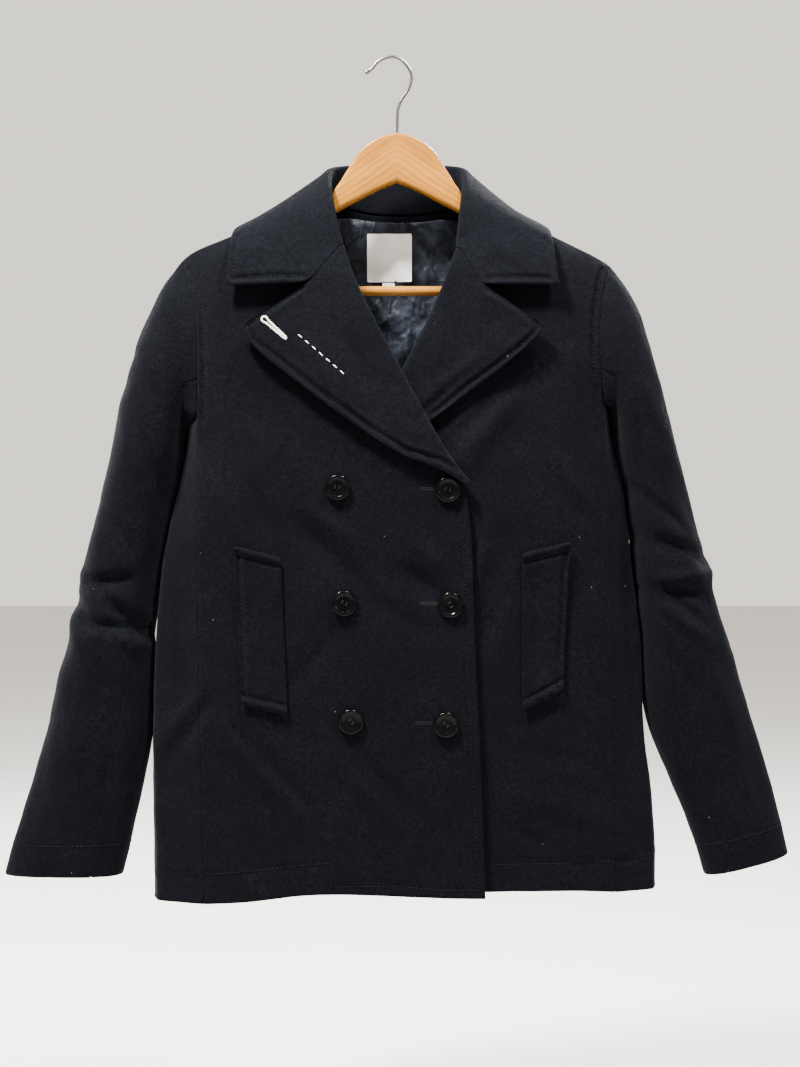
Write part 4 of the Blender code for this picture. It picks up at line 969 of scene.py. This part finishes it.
def landed_run(surface, line, face, step=1.5):
    dense = even_steps(dense_line(line, 6), step)
    return [spot for spot in (landed(surface, point.x, point.y, face) for point in dense) if spot]


def cuff_run(surface, side, steps=180, start=90):
    """A ring round the sleeve above its cuff, looked for from outside, start away from its middle."""
    (centre_x, centre_z), (way_x, way_z) = CUFF_RINGS[side]
    centre = Vector((centre_x, 0, centre_z))
    across = Vector((way_x, 0, way_z)).normalized()
    spots = []
    for k in range(steps + 1):
        angle = 2 * math.pi * k / steps
        out = across * math.cos(angle) + Vector((0, math.sin(angle), 0))
        place, normal, _, _ = surface.ray_cast(centre + out * start, -out)
        if place:
            spots.append((place, normal))
    return spots


def add_topstitching(shells, finish):
    """Every visible row of stitches, one object for each piece it is sewn on."""
    rows = TOPSTITCH + WELT_STITCHES
    surfaces = {name: tree_of(shells[name].data) for name in {row.on for row in rows}}
    sewn = defaultdict(bmesh.new)
    for k, row in enumerate(rows):
        lay_stitches(sewn[row.on], landed_run(surfaces[row.on], row.line, row.face), seed=k)
    for side in ("left", "right"):
        surface = tree_of(*(shells[f"sleeve_{part}_{side}"].data for part in ("upper", "under")))
        lay_stitches(sewn["sleeve_upper_" + side], cuff_run(surface, side), seed=40)
    return {name: [add_piece("thread_" + name, mesh_from(bm, "thread_" + name, 80), finish, name)]
            for name, bm in sewn.items()}


def seat_on(surface, x, z, turn=0.0):
    """A frame whose Z is the way out of the cloth at a place."""
    place, normal = landed(surface, x, z, FRONT)
    up = Vector((math.sin(math.radians(turn)), 0, math.cos(math.radians(turn))))
    aside = up.cross(normal).normalized()
    up = normal.cross(aside)
    return Matrix.Translation(place) @ Matrix((aside, up, normal)).transposed().to_4x4()


def button_blank():
    """A turned button with a raised rim, a dished middle and four holes."""
    bm = bmesh.new()
    verts = [bm.verts.new((reach, 0, height)) for reach, height in BUTTON_PROFILE]
    edges = [bm.edges.new(pair) for pair in zip(verts, verts[1:])]
    bmesh.ops.spin(bm, geom=verts + edges, cent=(0, 0, 0), axis=(0, 0, 1), angle=2 * math.pi, steps=64,
                   use_merge=True)
    bmesh.ops.remove_doubles(bm, verts=bm.verts, dist=0.01)
    bmesh.ops.recalc_face_normals(bm, faces=bm.faces)
    drills = bmesh.new()
    for x in (-HOLE_REACH, HOLE_REACH):
        for y in (-HOLE_REACH, HOLE_REACH):
            bmesh.ops.create_cone(drills, cap_ends=True, segments=16, radius1=1.05, radius2=1.25, depth=8,
                                  matrix=Matrix.Translation((x, y, 2)))
    drill = linked("drills", mesh_of(drills, "drills"))
    disc = mesh_of(bm, "button_disc")
    made = applied(disc, "BOOLEAN", operation="DIFFERENCE", solver="EXACT", object=drill)
    bpy.data.objects.remove(drill)
    return made


def add_buttons(front, resin, cotton):
    """The buttons, each with the strands of thread over its holes and the stalk under it."""
    blank = button_blank()
    surface = tree_of(front.data)
    for name, (x, z) in BUTTONS.items():
        seat = seat_on(surface, x, z, BUTTON_TURNS[name])
        bm = bmesh.new()
        bm.from_mesh(blank)
        bmesh.ops.transform(bm, matrix=seat, verts=bm.verts)
        add_piece("turned_" + name, mesh_from(bm, "turned_" + name, 35), resin, name, (name,))
        bm = bmesh.new()
        for aside in (-HOLE_REACH, HOLE_REACH):
            for lie, tilt, height in STRANDS:
                size = Matrix.Diagonal((0.42, 2.5, 0.45, 1))
                spot = Matrix.Translation((aside + lie, 0, height))
                bmesh.ops.create_uvsphere(bm, u_segments=8, v_segments=6, radius=1,
                                          matrix=seat @ spot @ Matrix.Rotation(tilt, 4, "Z") @ size)
        bmesh.ops.create_cone(bm, cap_ends=True, segments=14, radius1=2.3, radius2=2.0, depth=0.9,
                              matrix=seat @ Matrix.Translation((0, 0, 0.15)))
        add_piece("sewing_" + name, mesh_from(bm, "sewing_" + name), cotton, name)


def worked_hole(surface, start, end, keyhole, lump, seed):
    """A buttonhole worked round with close stitches: a slit, or a slit with a round eye at its start."""
    start, end = Vector(start), Vector(end)
    along = (end - start).normalized()
    aside = Vector((-along.y, along.x))
    if keyhole:
        eye, steps = 2.6, 16
        angles = [math.pi * (0.22 + 1.56 * k / steps) for k in range(steps + 1)]
        loop = [start + along * eye * math.cos(angle) * 1.15 + aside * eye * math.sin(angle)
                for angle in angles]
    else:
        loop = [start + aside * 0.9, start - along * 0.8, start - aside * 0.9]
    loop += [end - aside * 0.85, end + along * 0.9, end + aside * 0.85]
    loop.append(loop[0])
    chance = random.Random(seed)
    bm = bmesh.new()
    for a, b in zip(loop, loop[1:]):
        count = max(int((b - a).length / 0.62), 1)
        for k in range(count):
            spot = landed(surface, *a.lerp(b, (k + 0.5) / count), FRONT)
            if not spot:
                continue
            place, out = spot
            across = out.cross(Vector(((b - a).x, 0, (b - a).y)).normalized()).normalized()
            turn = Matrix((across, across.cross(out), out)).transposed().to_4x4()
            size = Matrix.Diagonal((1.15 * chance.uniform(0.9, 1.1), 0.4, 0.42, 1))
            bmesh.ops.create_uvsphere(bm, u_segments=6, v_segments=5, radius=1,
                                      matrix=Matrix.Translation(place + out * lump) @ turn @ size)
    return bm


def add_buttonholes(front, lapel, cotton, pale):
    surface = tree_of(front.data)
    for k, (x, z) in enumerate(BUTTONHOLES, 4):
        end = (x - BUTTONHOLE_LENGTH, z + BUTTONHOLE_RISE)
        bm = worked_hole(surface, (x, z), end, False, -0.1, k)
        add_piece(f"buttonhole_{k}", mesh_from(bm, f"buttonhole_{k}"), cotton, "front_left")
    surface = tree_of(lapel.data)
    bm = worked_hole(surface, KEYHOLE[0], KEYHOLE[1], True, 0.15, 11)
    lay_stitches(bm, landed_run(surface, RUNNING_STITCHES, FRONT), length=5.2, step=7.6, radius=0.5, seed=12)
    add_piece("lapel_sewing", mesh_from(bm, "lapel_sewing"), pale, "lapel_left")


def inner_cloth(name, node_name, finish, levels, lift_of):
    """The lining or a label: its packed sheet, subdivided and moved towards the front by lift_of."""
    data = rounded_shell(node_name, levels)
    places = points_of(data) / MM
    places[:, 1] -= lift_of(places)
    move_points(data, places)
    return add_piece(name, data, finish, node_name, (node_name,))


def lining_crinkles(places):
    """Crossing folds in the satin, which flatten behind the label, and two quilted rows."""
    x, _, z = places.T
    slanted = np.stack((x + 0.7 * z, 0 * x, z - 0.5 * x), axis=1)
    folds = 1 - np.abs(drift(slanted, (24, 40, 60), 4.4)) * 3.2
    cross = 1 - np.abs(drift(slanted, (55, 40, 20), 8.8)) * 3.4
    aside, above = (x - LABEL_MIDDLE[0]) / LABEL_REACH[0], (z - LABEL_MIDDLE[1]) / LABEL_REACH[1]
    near_label = np.exp(-(aside ** 4 + above ** 4))
    rise = np.clip(folds, 0, 1) ** 2 * 3.4 + np.clip(cross, 0, 1) ** 3 * 2.2
    quilt = 2.2 * bell(z, -219, 3.2) + 2.0 * bell(z, -262, 3.2)
    below_seam = smoothstep(-147, -158, z)
    return (rise - quilt * 0.4) * (1 - 0.85 * near_label) * below_seam


def label_wave(places):
    x, _, z = places.T
    wave = np.sin(x / 9.0 + z / 17.0) * smoothstep(-164, -200, z)
    return 1.3 * wave + 1.3 * drift(places, (15, 16, 15), 2.2)


def add_label_tacks(label, cotton):
    surface = tree_of(label.data)
    bm = bmesh.new()
    for k, (x, z) in enumerate(LABEL_TACKS):
        tack = [(x - 1.6, z), (x + 1.6, z)]
        lay_stitches(bm, landed_run(surface, tack, FRONT, 0.5), length=1.1, step=1.2, radius=0.28, seed=k)
    lay_stitches(bm, landed_run(surface, LABEL_TOP_ROW, FRONT), length=1.8, step=2.6, radius=0.22, seed=9)
    return add_piece("thread_label", mesh_from(bm, "thread_label"), cotton, "neck_label")


def add_wood(finish):
    """The shaped wood: one outline, cut out, with its edges rounded over."""
    half = dense_line(WOOD_OUTLINE[:WOOD_CORNER + 1], 4)[:-1] + dense_line(WOOD_OUTLINE[WOOD_CORNER:], 4)
    outline = [(p.x, p.y) for p in half] + [(-p.x, p.y) for p in half[-2:0:-1]]
    bm = bmesh.new()
    face = bm.faces.new([bm.verts.new((x, -WOOD_THICKNESS / 2, z)) for x, z in outline])
    slab = bmesh.ops.extrude_face_region(bm, geom=[face], use_keep_orig=True)
    far = [item for item in slab["geom"] if isinstance(item, bmesh.types.BMVert)]
    bmesh.ops.translate(bm, vec=(0, WOOD_THICKNESS, 0), verts=far)
    bmesh.ops.recalc_face_normals(bm, faces=bm.faces)
    rims = [edge for edge in bm.edges if abs(edge.verts[0].co.y - edge.verts[1].co.y) < 1]
    bmesh.ops.bevel(bm, geom=rims, offset=WOOD_ROUNDING, segments=5, profile=0.5, affect="EDGES", material=-1,
                    clamp_overlap=True)
    return add_piece("shaped_wood", mesh_from(bm, "shaped_wood", 35), finish, "hanger_wood", ("hanger_wood",))


def add_bar(finish):
    bm = bmesh.new()
    bmesh.ops.create_cone(bm, cap_ends=True, segments=40, radius1=BAR_RADIUS, radius2=BAR_RADIUS,
                          depth=2 * BAR_HALF_LENGTH, matrix=Matrix.Translation((0, 0, BAR_HEIGHT))
                          @ Matrix.Rotation(math.pi / 2, 4, "Y"))
    return add_piece("round_bar", mesh_from(bm, "round_bar"), finish, "trouser_bar", ("trouser_bar",))


def add_hook(finish):
    """One bent wire, a little thicker at its rounded tip."""
    path = even_steps(dense_line([(x, 0, z) for x, z in HOOK_PATH], 12), 1.0)
    for _ in range(6):
        path[1:-1] = [(a + 2 * b + c) / 4 for a, b, c in zip(path, path[1:], path[2:])]
    bm = bmesh.new()
    aside = Vector((0, 1, 0))
    last = None
    for k, place in enumerate(path):
        along = (path[min(k + 1, len(path) - 1)] - path[max(k - 1, 0)]).normalized()
        up = along.cross(aside)
        round_off = math.sqrt(1 - (1 - (k + 0.2) / 2.2) ** 2) if k < 2 else 1.0
        radius = WIRE_RADIUS * round_off * (1 + TIP_SWELL * bell(k, 2, 2.2))
        ring = bmesh.ops.create_circle(bm, segments=16, radius=radius)["verts"]
        turn = Matrix((aside, up, aside.cross(up))).transposed().to_4x4()
        bmesh.ops.transform(bm, matrix=Matrix.Translation(place) @ turn, verts=ring)
        edges = {edge for vert in ring for edge in vert.link_edges if edge.other_vert(vert) in ring}
        if last:
            bmesh.ops.bridge_loops(bm, edges=list(edges | last))
        last = edges
    bmesh.ops.holes_fill(bm, edges=[edge for edge in bm.edges if edge.is_boundary], sides=0)
    bmesh.ops.recalc_face_normals(bm, faces=bm.faces)
    return add_piece("bent_wire", mesh_from(bm, "bent_wire", 50), finish, "hanger_hook", ("hanger_hook",))


# Stage, lights and camera

def add_lamp(lamp):
    light = bpy.data.lights.new(lamp.name, "AREA")
    light.shape = "DISK"
    light.size = lamp.size
    light.energy = lamp.power
    light.color = lamp.colour
    holder = linked(lamp.name, light)
    holder.location = lamp.place
    holder.rotation_euler = (Vector(lamp.target) - Vector(lamp.place)).to_track_quat("-Z", "Y").to_euler()


def set_stage():
    """A pale floor, soft light all round, five lamps and the photograph's camera."""
    bm = bmesh.new()
    bmesh.ops.create_grid(bm, x_segments=2, y_segments=2, size=FLOOR_REACH,
                          matrix=Matrix.Translation((0, 0, FLOOR_HEIGHT)))
    data = mesh_of(bm, "floor")
    data.materials.append(pale_floor("pale floor"))
    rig.stage(linked("floor", data))
    world = bpy.data.worlds.new("soft room")
    SCENE.world = world
    world.use_nodes = True
    sky = world.node_tree.nodes["Background"].inputs
    sky["Color"].default_value = ROOM_COLOUR
    sky["Strength"].default_value = ROOM_STRENGTH
    for lamp in LAMPS:
        add_lamp(lamp)
    lens = bpy.data.cameras.new("camera")
    lens.sensor_fit = "VERTICAL"
    lens.angle_y = 2 * math.atan(FRAME_HEIGHT_AT_COAT / 2 / -CAMERA_PLACE[1])
    camera = linked("camera", lens)
    camera.location = CAMERA_PLACE
    camera.rotation_euler = (math.pi / 2, 0, 0)
    SCENE.camera = camera


def declare_sheets(shells, sewing):
    for name, cut in CUTS.items():
        flat = (cut.width, cut.length)
        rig.sheet(shells[name], flat, cut.held, cut.rests_on, cut.area, sewing.get(name, ()))


def main():
    set_stage()
    felt, weave, wear = felt_group(), weave_group(), wear_group()
    body_wool = wool("navy melton", felt)
    leaf_wool = wool("navy melton, collar and lapels", felt, 0.8)
    navy_thread = thread("navy thread", NAVY_THREAD, 0.04)
    pale_thread = thread("off-white thread", PALE_THREAD)
    label_thread = thread("grey thread", GREY_THREAD)

    shells = {}
    for name, levels in SHELLS.items():
        data = rounded_shell(name, levels)
        creased(data, name)
        finish = leaf_wool if name.startswith(LEAVES) else body_wool
        shells[name] = add_piece(name + "_cloth", data, finish, name, (name,))

    lining = inner_cloth("satin_lining", "lining", satin("navy satin", weave), 2, lining_crinkles)
    label = inner_cloth("blank_label", "neck_label", label_cloth("label weave", weave), 3, label_wave)
    tab = inner_cloth("blank_tab", "size_tab", label_cloth("tab weave", weave), 2, lambda places: 0.0)
    tacks = add_label_tacks(label, label_thread)
    sewing = add_topstitching(shells, navy_thread)
    sewing["neck_label"] = [tab, tacks]
    declare_sheets({**shells, "lining": lining, "neck_label": label}, sewing)
    add_buttons(shells["front_left"], button_resin("black button", wear), navy_thread)
    add_buttonholes(shells["front_left"], shells["lapel_left"], navy_thread, pale_thread)
    add_wood(honey_wood("honey wood", wear))
    add_bar(honey_wood("honey bar", wear, joint=False))
    add_hook(wire_steel("wire", wear))


main()

visual_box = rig.bounds()
with open("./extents.json", "w") as out:
    json.dump({"cad": [list(corner) for corner in cad_box], "visual": [list(corner) for corner in visual_box]}, out)
